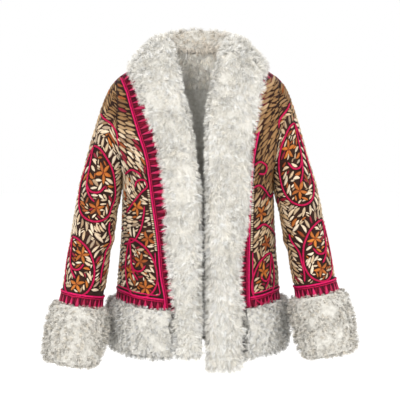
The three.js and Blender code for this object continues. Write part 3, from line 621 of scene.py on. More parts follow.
# Sleeve: rings from the armhole down to the wrist, the same a wall's thickness in, and a rim at both ends.
def sleeveShell(name, arm):
    angle = np.radians(np.linspace(-180, 180, 61))[:-1]
    along = np.concatenate([np.linspace(-1, 0, 15)[:-1], np.linspace(0, arm["length"], 46)])
    grid = np.broadcast_arrays(angle[None, :], along[:, None])
    outer = sleevePoint(*grid, arm)
    inner = outer - sleeveNormal(*grid, arm) * wall
    rows, cols = outer.shape[:2]
    face = gridFaces(rows, cols, wrap=True)
    far = rows * cols
    ring = np.arange(cols)
    turned = np.roll(ring, -1)
    first = np.stack([ring, ring + far, turned + far, turned], -1)
    last = np.stack([ring, turned, turned + far, ring + far], -1) + (rows - 1) * cols
    faces = np.concatenate([face, face[:, ::-1] + far, first, last])
    index = np.repeat([0, 1], [len(face), len(faces) - len(face)])
    if arm["side"] > 0:
        faces = faces[:, ::-1]
    points = np.concatenate([outer.reshape(-1, 3), inner.reshape(-1, 3)])
    piece = makeMesh(name, points, faces, [materials["suede"], materials["fleece"]], matIndex=index)
    return piece, gridArea(outer)


skins = {
    "front_left": bodyPanel("skin_front_left", frontEdges("left"), 36),
    "front_right": bodyPanel("skin_front_right", frontEdges("right"), 36),
    "back": bodyPanel("skin_back", backEdges, 66),
    "sleeve_left": sleeveShell("skin_sleeve_left", arms["left"]),
    "sleeve_right": sleeveShell("skin_sleeve_right", arms["right"]),
}
for name, (piece, area) in skins.items():
    wide, long = flatCut[name]
    min(area, wide * long)
    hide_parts(name)
print("skins made")

# Embroidery

colours = {
    "cream": srgb("#E2CFB4"),
    "sand": srgb("#BE9E76"),
    "tan": srgb("#936D42"),
    "gold": srgb("#6A431F"),
    "orange": srgb("#C67224"),
    "rust": srgb("#83360E"),
    "magenta": srgb("#AE0A42"),
    "pink": srgb("#CC1259"),
    "crimson": srgb("#8C0728"),
    "plum": srgb("#350A1B"),
}

# A chart is worked on as seen from outside, x to the right and y up. These signs turn that into s and t.
seen = {"body": (1, 1), "right": (1, -1), "left": (-1, -1)}


# A place as seen, times those signs.
def toChart(surface, places):
    return np.asarray(places, float) * np.array(seen[surface])


# high: height of the arch in shares of the width; twist: slant of the threads over the leaf, in degrees
# rim: the tint at a leaf's edge, darker as painted shade where the edge tucks down to the ground
leafForm = {"high": 0.3, "highest": 2.4, "bend": 0.16, "rim": 0.45, "twist": 38}


# Leaf or wedge: six stations along it, each an arch of five points, one less the square of the way out.
# A leaf's width goes with a sine along it, so it is pointed at both ends, and a wedge widens all the way.
def leafPiece(name, surface, leaves, base=0.4, wedge=False):
    chart = charts[surface]
    leaves = np.asarray(leaves, float)
    x, y, angle, length, width = leaves[:, :5].T
    tone = leaves[:, 5:8]
    along = np.array([0.0, 0.14, 0.36, 0.62, 0.86, 1.0])
    across = np.array([-1, -0.6, 0, 0.6, 1])
    body = np.sin(np.pi * along**0.88) ** 0.75
    if wedge:
        body = (0.2 + 0.8 * along) * np.array([0.7, 1, 1, 1, 1, 0.8])
    u = (along - 0.5)[None, :, None] * length[:, None, None] * np.ones((1, 1, 5))
    v = across[None, None, :] * body[None, :, None] * width[:, None, None] / 2
    bend = (0.0 if wedge else leafForm["bend"]) * np.sin(np.pi * along)[None, :, None]
    v = v + bend * width[:, None, None] * rng.normal(0, 1, (len(x), 1, 1))
    high = np.minimum(leafForm["high"] * width, leafForm["highest"])[:, None, None]
    arch = 1 - 0.94 * (across**2)[None, None, :]
    lift = base + high * arch * np.maximum(body, 0.1)[None, :, None]
    lift = np.where(np.abs(across)[None, None, :] > 0.99, base - 0.3, lift)
    ca, sa = np.cos(angle)[:, None, None], np.sin(angle)[:, None, None]
    px, py = x[:, None, None] + u * ca - v * sa, y[:, None, None] + u * sa + v * ca
    sx, sy = seen[surface]
    points = onChart(chart, sx * px, sy * py, np.broadcast_to(lift, px.shape)).reshape(-1, 3)
    rows = len(along)
    first = (np.arange(len(x)) * rows * 5)[:, None, None]
    faces = (gridFaces(rows, 5)[:, ::-1][None] + first).reshape(-1, 4)
    shade = 0.84 + 0.3 * rng.random(len(x))
    # painted shade: the edge points of each leaf get a darker tint by the rim factor
    rim = np.tile(np.where(np.abs(across) > 0.99, leafForm["rim"], 1.0), (rows, 1)).ravel()
    tint = np.clip(np.repeat(tone * shade[:, None], rows * 5, axis=0) * np.tile(rim, len(x))[:, None], 0, 1)
    start = rng.random((len(x), 1, 1))
    twist = math.radians(leafForm["twist"])
    uv = np.stack([(u * math.cos(twist) - v * math.sin(twist)) / 10 + start,
                   (v * math.cos(twist) + u * math.sin(twist)) / 10 + start], -1).reshape(-1, 2)
    return makeMesh(name, points, faces, materials["silk"], tint, uv)


cordForm = {"sides": 6, "step": 2.4, "beat": 0.2, "flat": 0.62}


# Cord: a ring of six points at each step of a line on the chart, flatter than it is wide. Every second ring
# is a little smaller, one beat for each chain stitch, and the ends run out to a point.
def cordPiece(name, surface, lines, lift=0.6):
    chart = charts[surface]
    allPoints, allFaces, allTint, allUv = [], [], [], []
    sides, step, count = cordForm["sides"], cordForm["step"], 0
    for line in lines:
        path = toChart(surface, resample(np.asarray(line["path"], float), step))
        if len(path) < 4:
            continue
        p = onChart(chart, path[:, 0], path[:, 1], np.full(len(path), lift + line["thick"] * 0.22))
        n = sample(chart, path[:, 0], path[:, 1], "n")
        tangent = np.gradient(p, axis=0)
        tangent /= np.maximum(np.linalg.norm(tangent, axis=1, keepdims=True), 1e-9)
        side = np.cross(tangent, n)
        order = np.arange(len(p))
        ends = np.minimum(1, np.minimum(order, order[::-1]) / 2.2 + 0.01)
        radius = line["thick"] / 2 * (1 - cordForm["beat"] * (order % 2)) * ends
        a = np.arange(sides) * 2 * np.pi / sides
        ring = (p[:, None] + radius[:, None, None] * (np.cos(a)[None, :, None] * side[:, None]
                + cordForm["flat"] * np.sin(a)[None, :, None] * n[:, None]))
        allPoints.append(ring.reshape(-1, 3))
        allFaces.append(gridFaces(len(p), sides, wrap=True)[:, ::-1] + count)
        count += len(p) * sides
        tone = np.clip(line["tone"] * (0.82 + 0.36 * rng.random((len(p), 1))), 0, 1)
        allTint.append(np.repeat(tone, sides, axis=0))
        far = order * step
        uv = np.stack(np.broadcast_arrays(a[None, :] / 6.283, far[:, None] / 4), -1)
        allUv.append(uv.reshape(-1, 2))
    return makeMesh(name, np.concatenate(allPoints), np.concatenate(allFaces), materials["cord"],
                    np.concatenate(allTint), np.concatenate(allUv))


# The same line with its points an even step apart, found by its length so far.
def resample(path, step):
    far = np.concatenate([[0], np.cumsum(np.hypot(*np.diff(path, axis=0).T))])
    at = np.linspace(0, far[-1], max(3, int(far[-1] / step) + 1))
    return np.stack([np.interp(at, far, path[:, 0]), np.interp(at, far, path[:, 1])], 1)


# Smooth line through a few named places (Catmull-Rom).
def curve(points, count=60):
    p = np.asarray(points, float)
    p = np.vstack([2 * p[0] - p[1], p, 2 * p[-1] - p[-2]])
    at = np.linspace(0, len(p) - 3 - 1e-6, count)
    i = at.astype(int)
    t = (at - i)[:, None]
    a, b, c, d = p[i], p[i + 1], p[i + 2], p[i + 3]
    return 0.5 * (2 * b + (c - a) * t + (2 * a - 5 * b + 4 * c - d) * t**2 + (3 * b - a - 3 * c + d) * t**3)


# Medallion, in a box of one by one: a drop whose tip leans to one side, and a stem that grows in from it.
dropLine = [(-0.42, 0.50), (-0.16, 0.49), (0.14, 0.38), (0.38, 0.14), (0.48, -0.14), (0.38, -0.38),
            (0.12, -0.5), (-0.18, -0.46), (-0.4, -0.28), (-0.5, 0.0), (-0.49, 0.26), (-0.42, 0.50)]
stemLine = [(-0.42, 0.50), (-0.34, 0.26), (-0.27, 0.06), (-0.14, -0.1), (0.02, -0.2)]
hookLine = [(-0.27, 0.06), (-0.12, -0.04), (0.06, -0.02), (0.16, 0.1)]


# Its lines stretched to the size, mirrored if flip is -1, tilted by some degrees and set in their place.
def medallion(place, size, tilt, flip, flowers):
    ca, sa = math.cos(math.radians(tilt)), math.sin(math.radians(tilt))

    def turn(points):
        q = np.asarray(points, float).reshape(-1, 2) * np.array([flip * size[0], size[1]])
        return np.stack([place[0] + q[:, 0] * ca - q[:, 1] * sa, place[1] + q[:, 0] * sa + q[:, 1] * ca], 1)

    return {"outline": turn(curve(dropLine, 90)), "flowers": turn(flowers),
            "stems": [turn(curve(stemLine, 30)), turn(curve(hookLine, 24))],
            "middle": np.array(place, float), "flip": flip}


# Which points a closed line goes round, by its crossings of the ray to the right.
def inside(points, outline):
    x, y = points[:, 0][:, None], points[:, 1][:, None]
    a, b = outline, np.roll(outline, -1, axis=0)
    ax, ay, bx, by = a[:, 0][None], a[:, 1][None], b[:, 0][None], b[:, 1][None]
    hit = ((ay > y) != (by > y)) & (x < (bx - ax) * (y - ay) / (by - ay + 1e-12) + ax)
    return hit.sum(1) % 2 == 1


discAt = np.array([-0.4, -0.2, 0, 0.2, 0.4])
discWide = np.array([0.16, 0.35, 0.45, 0.35, 0.16])


# A leaf is five discs, at shares of its length and as wide as shares of its width, to keep leaves apart.
def discs(leaves):
    leaves = np.atleast_2d(leaves)
    way = np.stack([np.cos(leaves[:, 2]), np.sin(leaves[:, 2])], 1)
    place = leaves[:, None, :2] + way[:, None] * (discAt[None] * leaves[:, 3:4])[..., None]
    return place, discWide[None] * leaves[:, 4:5]


# Packing: each leaf in turn goes in at full size if its discs are clear of all before it, or else smaller,
# or not at all.
def packLeaves(taken, tries, allowed, gap=0.9, parts=(1, 0.8, 0.6)):
    sizes = []
    for part in parts:
        sized = np.array(tries, float)
        sized[:, 3] *= part
        sized[:, 4] *= 0.15 + 0.85 * part
        place, reach = discs(sized)
        good = allowed(place.reshape(-1, 2)).reshape(len(sized), -1).all(1)
        sizes.append((sized, place, reach, good))
    kept = []
    for i in range(len(tries)):
        for sized, place, reach, good in sizes:
            if not good[i]:
                continue
            apart = ((taken["place"][None] - place[i][:, None]) ** 2).sum(2)
            if (apart < (taken["reach"][None] + reach[i][:, None] + gap) ** 2).any():
                continue
            kept.append(sized[i])
            taken["place"] = np.concatenate([taken["place"], place[i]])
            taken["reach"] = np.concatenate([taken["reach"], reach[i]])
            break
    return kept


leafStyle = {"length": 27, "width": 8.3, "gap": 0.5, "column": 21.5}
fringeStyle = {"outLean": 22, "inLean": 48, "outLength": 0.84, "inLength": 0.8, "width": 0.9, "step": 11}
stemStyle = {"step": 10.5, "lean": 0.95, "length": 0.78, "width": 0.88}


# Feathers: wavy columns of slanting leaves down the skin, as far apart as their slant needs.
def feathers(span, heights, slant):
    tries = []
    for k, x in enumerate(np.arange(span[0], span[1], leafStyle["column"])):
        y = heights[1] - (k % 3) * 4
        while y > heights[0]:
            at = x + 4 * math.sin(y / 43 + x / 57)
            angle = math.radians(slant(at, y) + rng.normal(0, 4))
            off = rng.normal(0, 0.6)
            length = leafStyle["length"] * (0.9 + 0.2 * rng.random())
            width = leafStyle["width"] * (0.9 + 0.2 * rng.random())
            tries.append([at + off, y, angle, length, width])
            y -= (leafStyle["width"] + leafStyle["gap"]) / max(0.45, abs(math.cos(angle)))
    return np.array(tries)


# Fringe: leaves along a drop's edge, each square to it and then leaning, outside it or inside.
def fringe(shape, out):
    line = resample(shape["outline"], fringeStyle["step"])
    way = np.gradient(line, axis=0)
    way /= np.linalg.norm(way, axis=1, keepdims=True)
    away = np.stack([way[:, 1], -way[:, 0]], 1)
    away *= np.sign(((line - shape["middle"]) * away).sum(1))[:, None] * (1 if out else -1)
    lean = math.radians(fringeStyle["outLean"] if out else fringeStyle["inLean"]) * shape["flip"]
    angle = np.arctan2(away[:, 1], away[:, 0]) + lean * (1 if out else -1) + rng.normal(0, 0.08, len(line))
    length = leafStyle["length"] * (fringeStyle["outLength"] if out else fringeStyle["inLength"])
    place = line + away * (4.4 + length * (0.46 if out else 0.36))
    size = np.tile([length, leafStyle["width"] * fringeStyle["width"]], (len(line), 1))
    return np.column_stack([place, angle, size])


# Leaves in pairs up both sides of a stem, each leaning out by the same angle.
def stemLeaves(line):
    line = resample(line, stemStyle["step"])
    way = np.gradient(line, axis=0)
    angle = np.arctan2(way[:, 1], way[:, 0])
    out = []
    for side in (1, -1):
        a = angle + side * stemStyle["lean"]
        length = leafStyle["length"] * stemStyle["length"]
        place = line + np.stack([np.cos(a), np.sin(a)], 1) * (length * 0.5 + 2.5)
        size = np.tile([length, leafStyle["width"] * stemStyle["width"]], (len(a), 1))
        out.append(np.column_stack([place, a, size]))
    return np.concatenate(out)


# In a drop the leaves lie almost level on the side its tip leans away from, and stand up on the other.
def dropSlant(shape):
    def slant(x, y):
        return shape["flip"] * (8 if (x - shape["middle"][0]) * shape["flip"] > -8 else 52)
    return slant


flowerStyle = {"petal": 18.5, "width": 7.6, "hole": 1.2}


# Flowers: five leaves set evenly round a middle from a random first angle, and a small round one on it.
def petals(heads):
    leaves, tones = [], []
    length, width = flowerStyle["petal"], flowerStyle["width"]
    far = length * 0.5 + flowerStyle["hole"]
    for x, y in heads:
        first = rng.random() * 2 * np.pi
        warm = rng.random()
        for k in range(5):
            a = first + k * 2 * np.pi / 5 + rng.normal(0, 0.08)
            leaves.append([x + np.cos(a) * far, y + np.sin(a) * far, a, length, width])
            tones.append(mix(colours["orange"], colours["rust"], 0.55 * warm + 0.35 * rng.random()))
        leaves.append([x, y, first, 5.5, 5.5])
        tones.append(colours["rust"])
    return np.column_stack([leaves, tones])


# small leaves in the gaps: length and width in a drop and on the ground, and the area for each try
fillStyle = {"tries": 600, "drop": (20.0, 6.8), "ground": (22.0, 6.6), "area": 18,
             "parts": (1, 0.8, 0.6, 0.45)}
toneShares = {"gold": 0.16, "warm": 0.32, "crimson": 0.11}


# All of one skin: drops, scrolls and flowers first, then the leaves that belong to them, then feathers,
# and small leaves in the gaps that are left.
def embroider(name, surface, shapes, scrolls, flowers, span, heights, allowed, slant, tanShare, warmth=0.2):
    cords = [s["outline"] for s in shapes] + [line for s in shapes for line in s["stems"]] + list(scrolls)
    lines = np.concatenate([resample(path, 2.5) for path in cords])
    heads = np.concatenate([s["flowers"] for s in shapes] + [np.asarray(flowers, float).reshape(-1, 2)])
    heads = heads[allowed(heads)]
    flower = petals(heads)
    place, reach = discs(flower)
    taken = {"place": np.concatenate([lines, place.reshape(-1, 2)]),
             "reach": np.concatenate([np.full(len(lines), 2.3), reach.ravel()])}

    def inDrop(points):
        return np.any([inside(points, s["outline"]) for s in shapes], axis=0)

    kept = []
    for shape in shapes:
        within = lambda p, shape=shape: allowed(p) & inside(p, shape["outline"])
        for line in shape["stems"]:
            kept += packLeaves(taken, stemLeaves(line), within)
        kept += packLeaves(taken, fringe(shape, False), within)
        low, high = shape["outline"].min(0), shape["outline"].max(0)
        rows = feathers((low[0] + 6, high[0]), (low[1], high[1]), dropSlant(shape))
        kept += packLeaves(taken, rows, within, 0.3)
        count = fillStyle["tries"]
        spots = low + (high - low) * rng.random((count, 2))
        angle = rng.normal(-0.5 * shape["flip"], 0.6, count)
        more = np.column_stack([spots, angle, np.tile(fillStyle["drop"], (count, 1))])
        kept += packLeaves(taken, more, within, 0.3, fillStyle["parts"])
    outside = lambda p: allowed(p) & ~inDrop(p)
    for shape in shapes:
        kept += packLeaves(taken, fringe(shape, True), outside)
    kept += packLeaves(taken, feathers(span, heights, slant), outside, 0.4)
    count = int((span[1] - span[0]) * (heights[1] - heights[0]) / fillStyle["area"])
    spots = np.column_stack([rng.uniform(*span, count), rng.uniform(*heights, count)])
    angle = np.radians(np.array([slant(x, y) for x, y in spots]) + rng.normal(0, 9, count))
    more = np.column_stack([spots, angle, np.tile(fillStyle["ground"], (count, 1))])
    kept += packLeaves(taken, more, outside, 0.3, fillStyle["parts"])
    kept = np.array(kept)
    share = np.clip(tanShare(kept[:, 0], kept[:, 1]) + 0.5 * rng.random(len(kept)) - 0.08, 0, 1)[:, None]
    tone = np.where(share < 0.5, mix(colours["cream"], colours["sand"], share * 2),
                    mix(colours["sand"], colours["tan"], share * 2 - 1))
    tone = np.where(rng.random((len(kept), 1)) < toneShares["gold"], mix(tone, colours["gold"], 0.55), tone)
    chance = rng.random((len(kept), 1)) / np.where(inDrop(kept[:, :2]), 1.0, warmth)[:, None]
    warm = mix(colours["rust"], colours["orange"], rng.random((len(kept), 1)) * 0.9)
    tone = np.where(chance < toneShares["warm"], warm, tone)
    tone = np.where(chance < toneShares["crimson"], colours["crimson"], tone)
    leaves = np.concatenate([np.column_stack([kept, tone]), flower])
    leafPiece("leaves_" + name, surface, leaves)
    threads = [{"path": path, "thick": 5.0, "tone": colours["magenta"]} for path in cords]
    cordPiece("scrolls_" + name, surface, threads)
    print("embroidered", name, len(kept), "leaves", len(heads), "flowers")


# Where stitches may lie on the body: clear of the borders, the hem, the armholes and the neck band.
def bodyAllowed(part):
    def allowed(places):
        s, t = places[:, 0], places[:, 1]
        p, turn = sample(charts["body"], s, t), sample(charts["body"], s, t, "turn")
        x, y, z = p[:, 0], p[:, 1], p[:, 2]
        deep = np.where(y < 0, armholeFront, armholeBack)
        middle, high = (shoulderTop + armpit) / 2, (shoulderTop - armpit) / 2 + 1
        good = (t > hemFurLine(turn) + hemBand + 6) & (((z - middle) / high) ** 2 + (y / deep) ** 2 > 1)
        if part == "front":
            edge = np.where(x > 0, lookup(borderEdge, "z", z, "left"), -lookup(borderEdge, "z", z, "right"))
            return good & (y < -3) & (np.abs(x) > edge + np.where(z < -262, 9, 3)) & (z < -16)
        half = np.abs(sampleEdge(t))
        return good & (y > 3) & (z < collarLine(turn) - 33) & (np.abs(s) < half - 1.5)
    return allowed


# How far round each way the chart goes at a height.
def sampleEdge(t):
    chart = charts["body"]
    return np.interp(t, chart["t0"] + chart["step"] * np.arange(len(chart["edge"])), chart["edge"][:, 1])


# Where stitches may lie on a sleeve: from the seam of the armhole down to the cuff's border.
def armAllowed(hand):
    chart, arm = charts[hand], arms[hand]

    def allowed(places):
        s, t = toChart(hand, places).T
        head = np.interp(s, chart["s"], chart["head"])
        return (t > 1 - head) & (t < arm["length"] - arm["cuff"] - 32) & (np.abs(s) < 172)
    return allowed


# Places given as x and z on the fronts, carried round onto the chart.
def onFront(points):
    points = np.asarray(points, float).reshape(-1, 2)
    return np.stack([sAtTurn(turnAtX(points[:, 0], points[:, 1]), points[:, 1]), points[:, 1]], 1)


# slant: angle of the feathers in degrees; tan: share of the darker thread; warmth: share of red and orange
fronts = {
    "front_right": {
        "drops": [((-127, -439), (100, 122), -8, 1, [(0.0, 0.14), (0.22, -0.3), (-0.3, -0.1)])],
        "scrolls": [[(-163, -388), (-138, -376), (-124, -350), (-118, -322), (-116, -300)],
                    [(-158, -318), (-138, -290), (-122, -270), (-110, -258), (-116, -244), (-132, -246),
                     (-138, -262)],
                    [(-160, -232), (-146, -222), (-130, -228), (-122, -238)]],
        "flowers": [(-134, -304), (-108, -372)],
        "span": (-262, -66),
        "slant": lambda x, y: -16 - 42 * smooth((-110 - y) / 130) + 62 * smooth((-255 - y) / 60),
        "tan": lambda x, y: 1.0 * smooth((y + 165) / 70),
        "warmth": 0.4,
    },
    "front_left": {
        "drops": [((146, -462), (84, 104), 6, -1, [(0.0, 0.16), (-0.04, -0.28)])],
        "scrolls": [[(118, -262), (134, -256), (148, -268), (158, -282), (168, -276)],
                    [(126, -352), (144, -342), (160, -352), (172, -372), (170, -398)],
                    [(122, -212), (136, -204), (150, -214), (146, -230), (132, -230)]],
        "flowers": [(140, -318), (152, -384)],
        "span": (92, 262),
        "slant": lambda x, y: 34 + 24 * smooth((-60 - y) / 120) - 20 * smooth((-250 - y) / 60),
        "tan": lambda x, y: 0.8 * smooth((y + 300) / 60) + 0.25,
        "warmth": 0.12,
    },
}
for name, plan in fronts.items():
    drops = [medallion(onFront(place)[0], *rest) for place, *rest in plan["drops"]]
    scrolls = [onFront(curve(points, 50)) for points in plan["scrolls"]]
    embroider(name, "body", drops, scrolls, onFront(plan["flowers"]), plan["span"], (-505, -14),
              bodyAllowed("front"), plan["slant"], plan["tan"], plan["warmth"])


# Herringbone: leaves slant down to both sides of upright spines.
def herringbone(spines, slant):
    def angle(x, y):
        away = x - spines[int(np.argmin(np.abs(np.array(spines) - x)))]
        return -slant if away > 0 else slant
    return angle


# Back, which the photograph doesn't show: the same drops, scrolls and flowers, mirrored about the middle.
threeFlowers = [(0.0, 0.2), (0.18, -0.28), (-0.3, -0.12)]
twoFlowers = [(0.04, 0.24), (0.08, -0.28)]
for sign, name in ((1, "back_left"), (-1, "back_right")):
    drops = [medallion((sign * 404, -396), (104, 138), sign * 8, -sign, threeFlowers),
             medallion((sign * 300, -318), (88, 120), -sign * 8, sign, twoFlowers),
             medallion((sign * 402, -196), (90, 124), -sign * 6, -sign, twoFlowers)]
    scrolls = [curve([(sign * x, y) for x, y in line], 40) for line in
               ([(276, -420), (300, -404), (326, -414), (334, -440), (316, -456)],
                [(330, -232), (318, -252), (326, -270)])]
    spines = [sign * x for x in (270, 340, 410, 470)]
    span = (232, 500) if sign > 0 else (-500, -232)
    embroider(name, "body", drops, scrolls, [(sign * 306, -432)], span, (-505, -30), bodyAllowed("back"),
              herringbone(spines, 36), lambda x, y: 0.9 * smooth((y + 150) / 70))

# Sleeves.
sleeves = {
    "right": {
        "drops": [((80, -6), (106, 134), -4, 1, twoFlowers), ((64, -178), (92, 122), -4, 1, twoFlowers),
                  ((-76, -30), (96, 130), 4, -1, twoFlowers), ((-84, -186), (84, 108), 4, -1, twoFlowers)],
        "scrolls": [[(24, 130), (50, 124), (78, 128), (102, 122)],
                    [(126, -70), (136, -120), (126, -170), (128, -206)]],
        "spines": (-150, -80, 4, 72, 150),
    },
    "left": {
        "drops": [((-74, 34), (92, 146), 4, -1, twoFlowers), ((-60, -146), (92, 126), 4, -1, twoFlowers),
                  ((76, -20), (96, 130), -4, 1, twoFlowers), ((84, -176), (84, 108), -4, 1, twoFlowers)],
        "scrolls": [[(-128, -96), (-112, -134), (-106, -176), (-110, -204)],
                    [(-30, 158), (-56, 150), (-84, 156)]],
        "spines": (-150, -72, -4, 80, 150),
    },
}
for hand, plan in sleeves.items():
    drops = [medallion(*drop) for drop in plan["drops"]]
    scrolls = [curve(points, 40) for points in plan["scrolls"]]
    side = seen[hand][0]
    embroider("sleeve_" + hand, hand, drops, scrolls, [], (-174, 174), (-215, 225), armAllowed(hand),
              herringbone(plan["spines"], 34),
              lambda x, y, side=side: 0.8 * smooth((y - 105) / 60) + 0.35 * smooth((side * x - 110) / 30))

# Border bands: plum cloth with a raised magenta cord and wedges that widen towards the fur

# cord and thin: how thick the two cords are; cordIn, thinIn and wedgeIn: how far in from the outer edge
bandStyle = {"thick": 1.7, "floor": 0.3, "cells": 6, "pitch": 14.0, "wedge": 12.0, "cord": 4.6, "thin": 2.6,
             "cordIn": 1.6, "thinIn": 6, "wedgeIn": 8}


# Strip between two lines on a chart: even shares of the way across, lifted off the skin, with closed edges.
def stripPiece(name, surface, inner, outer):
    chart, cells = charts[surface], bandStyle["cells"]
    share = np.linspace(0, 1, cells + 1)
    at = inner[:, None] * (1 - share[None, :, None]) + outer[:, None] * share[None, :, None]
    s, t = np.moveaxis(toChart(surface, at), -1, 0)
    top = onChart(chart, s, t, np.full(s.shape, bandStyle["floor"] + bandStyle["thick"]))
    low = onChart(chart, s, t, np.full(s.shape, bandStyle["floor"]))
    a, b, c = wallFaces(len(inner), cells + 1)
    points = np.concatenate([top.reshape(-1, 3), low.reshape(-1, 3)])
    faces = np.concatenate([a, b, c])
    p, q, r = points[a[:, 0]], points[a[:, 1]], points[a[:, 2]]
    if (np.cross(q - p, r - p) * sample(chart, s, t, "n")[:-1, :-1].reshape(-1, 3)).sum() < 0:
        faces = faces[:, ::-1]
    far = np.concatenate([[0], np.cumsum(np.hypot(*np.diff(inner, axis=0).T))])
    uv = np.stack(np.broadcast_arrays(share[None, :] * 3, far[:, None] / 10), -1).reshape(-1, 2)
    tone = mix(colours["plum"], colours["crimson"], 0.6 * rng.random((len(points), 1)) ** 1.5)
    piece = makeMesh(name, points, faces, materials["bandCloth"], tone, np.concatenate([uv, uv]))
    width = float(np.linalg.norm(top[:, -1] - top[:, 0], axis=1).mean()) / 1000
    length = float(np.linalg.norm(np.diff(top[:, cells // 2], axis=0), axis=1).sum()) / 1000
    return piece, (width, length)


# Border: the strip, a thick cord on its outer edge with a thin one beside it, and the row of wedges.
def border(name, surface, inner, outer, cads, cordEnd=None):
    piece, flat = stripPiece("band_" + name, surface, inner, outer)
    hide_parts(*cads)
    across = outer - inner
    wide = np.linalg.norm(across, axis=1, keepdims=True)
    unit = across / np.maximum(wide, 1e-6)
    raised = bandStyle["floor"] + bandStyle["thick"]
    thick = (outer - unit * bandStyle["cordIn"])[:cordEnd]
    thin = (outer - unit * np.minimum(bandStyle["thinIn"], wide * 0.3))[:cordEnd]
    cords = [{"path": thick, "thick": bandStyle["cord"], "tone": colours["pink"]},
             {"path": thin, "thick": bandStyle["thin"], "tone": colours["magenta"]}]
    cordPiece("bandcord_" + name, surface, cords, raised - 0.4)
    top = resample(outer - unit * np.minimum(bandStyle["wedgeIn"], wide * 0.4), bandStyle["pitch"])
    share = np.linspace(0, 1, len(top))
    foot = np.stack([np.interp(share, np.linspace(0, 1, len(inner)), inner[:, k]) for k in (0, 1)], 1)
    way = np.gradient(top, axis=0)
    way /= np.linalg.norm(way, axis=1, keepdims=True)
    square = np.stack([-way[:, 1], way[:, 0]], 1)
    square *= np.sign((square * (foot - top)).sum(1))[:, None]
    length = np.clip((square * (foot - top)).sum(1) * 1.02, 5, 30)
    angle = np.arctan2(square[:, 1], square[:, 0]) + rng.normal(0, 0.05, len(top))
    size = bandStyle["wedge"] * np.minimum(1, length / 16) * (0.9 + 0.2 * rng.random(len(top)))
    tone = mix(colours["pink"], colours["crimson"], rng.random((len(top), 1)) * 0.7)
    wedges = np.column_stack([top + square * length[:, None] * 0.5, angle, length, size, tone])
    leafPiece("bandwedges_" + name, surface, wedges, raised - 0.2, True)


# Line round the body on the chart, for angles and heights.
def aroundBody(turn, z):
    return np.stack([sAtTurn(turn, z), z], 1)


shortStitch = {"step": 4.7, "length": 6.6, "width": 3.7, "low": -396, "high": -266}


# Short stitches lying across a line, one over the other.
def stitchRow(name, path, side):
    line = resample(path, shortStitch["step"])
    count = len(line)
    tone = mix(colours["cream"], colours["sand"], rng.random((count, 1)))
    angle = rng.normal(0.12 * side, 0.12, count)
    size = np.tile([shortStitch["length"], shortStitch["width"]], (count, 1))
    leafPiece(name, "body", np.column_stack([line, angle, size, tone]))


overBorder = {"low": -133, "high": -15, "step": 12.4, "columns": (3.0, 17.0), "drop": (0, -4.5),
              "length": 25.0, "width": 8.6}


# Leaves laid over the top of the left border in two columns, where the collar's wool falls onto the front.
def leavesOverBorder():
    z = np.repeat(np.arange(overBorder["low"], overBorder["high"], overBorder["step"]), 2)
    count = len(z)
    x = lookup(borderEdge, "z", z, "left") - np.tile(overBorder["columns"], count // 2)
    place = onFront(np.stack([x, z + np.tile(overBorder["drop"], count // 2)], 1))
    angle = np.radians(34 + 24 * smooth((-60 - z) / 120)) + rng.normal(0, 0.07, count)
    tone = mix(colours["tan"], colours["sand"], rng.random((count, 1)))
    size = np.tile([overBorder["length"], overBorder["width"]], (count, 1))
    row = np.column_stack([place, angle, size, tone])
    piece = leafPiece("leaves_over_border_left", "body", row, bandStyle["floor"] + bandStyle["thick"] + 0.2)


leavesOverBorder()
for hand in ("left", "right"):
    side = arms[hand]["side"]
    corner = float(turnAtX(lookup(borderEdge, "z", hemFurTop, hand), hemFurTop))
    low = float(hemFurLine(corner))
    z = np.linspace(low + 3, -20, 90)
    outer = onFront(np.stack([lookup(borderEdge, "z", z, hand), z], 1))
    zIn = np.linspace(low - 3, -4, 90)
    inner = onFront(np.stack([lookup(trimEdge, "z", zIn, hand) + side, zIn], 1))
    # above this the left border lies under leaves
    cordEnd = None if side < 0 else int((z < overBorder["low"] + 5).sum())
    border("front_" + hand, "body", inner, outer, ["front_border_" + hand], cordEnd)
    turns = np.linspace(corner, 0.0 if side > 0 else math.pi, 50)
    hem = aroundBody(turns, hemFurLine(turns) + hemBand)
    border("hem_" + hand, "body", aroundBody(turns, hemFurLine(turns) + 1), hem, ["hem_border_" + hand])
    # thin cord inside the corner, and the row of short stitches up the border
    z = np.linspace(low + hemBand + 6, -400, 30)
    up = onFront(np.stack([lookup(borderEdge, "z", z, hand) + side * 7, z], 1))
    along = hem + np.array([0, 6.0])
    path = np.concatenate([along[::-1][:-4], up[2:]])
    cord = {"path": path, "thick": 3.0, "tone": colours["pink"]}
    cordPiece("cornercord_" + hand, "body", [cord])
    z = np.linspace(shortStitch["low"], shortStitch["high"], 30)
    line = onFront(np.stack([lookup(borderEdge, "z", z, hand) + side * 5, z], 1))
    stitchRow("shortstitches_" + hand, line, side)
    arm = arms[hand]
    x = np.linspace(-179, 179, 120)
    ends = [np.stack([x, np.full(120, -float(arm["length"] - arm["cuff"] - far))], 1) for far in (1, 28)]
    border("cuff_" + hand, hand, ends[0], ends[1], ["cuff_border_" + hand])
    # back hem and neck, each in two halves that meet at the middle
    turns = np.linspace(-0.0, -math.pi / 2, 50)
    if side < 0:
        turns = np.linspace(-math.pi, -math.pi / 2 - 1e-4, 50)
    border("hem_back_" + hand, "body", aroundBody(turns, hemFurLine(turns) + 1),
           aroundBody(turns, hemFurLine(turns) + hemBand), ["hem_border_back"])
    border("neck_" + hand, "body", aroundBody(turns, collarLine(turns) - 3),
           aroundBody(turns, collarLine(turns) - 29), ["neck_border_back"])
print("borders made")

# Fur: an under body within each fur solid, and locks of strands rooted in it


# A node's points, in millimetres, and its triangles.
def meshArrays(piece):
    mesh = piece.data
    points = np.empty(len(mesh.vertices) * 3)
    mesh.vertices.foreach_get("co", points)
    mesh.calc_loop_triangles()
    tris = np.empty(len(mesh.loop_triangles) * 3, np.int32)
    mesh.loop_triangles.foreach_get("vertices", tris)
    return points.reshape(-1, 3) * 1000, tris.reshape(-1, 3)


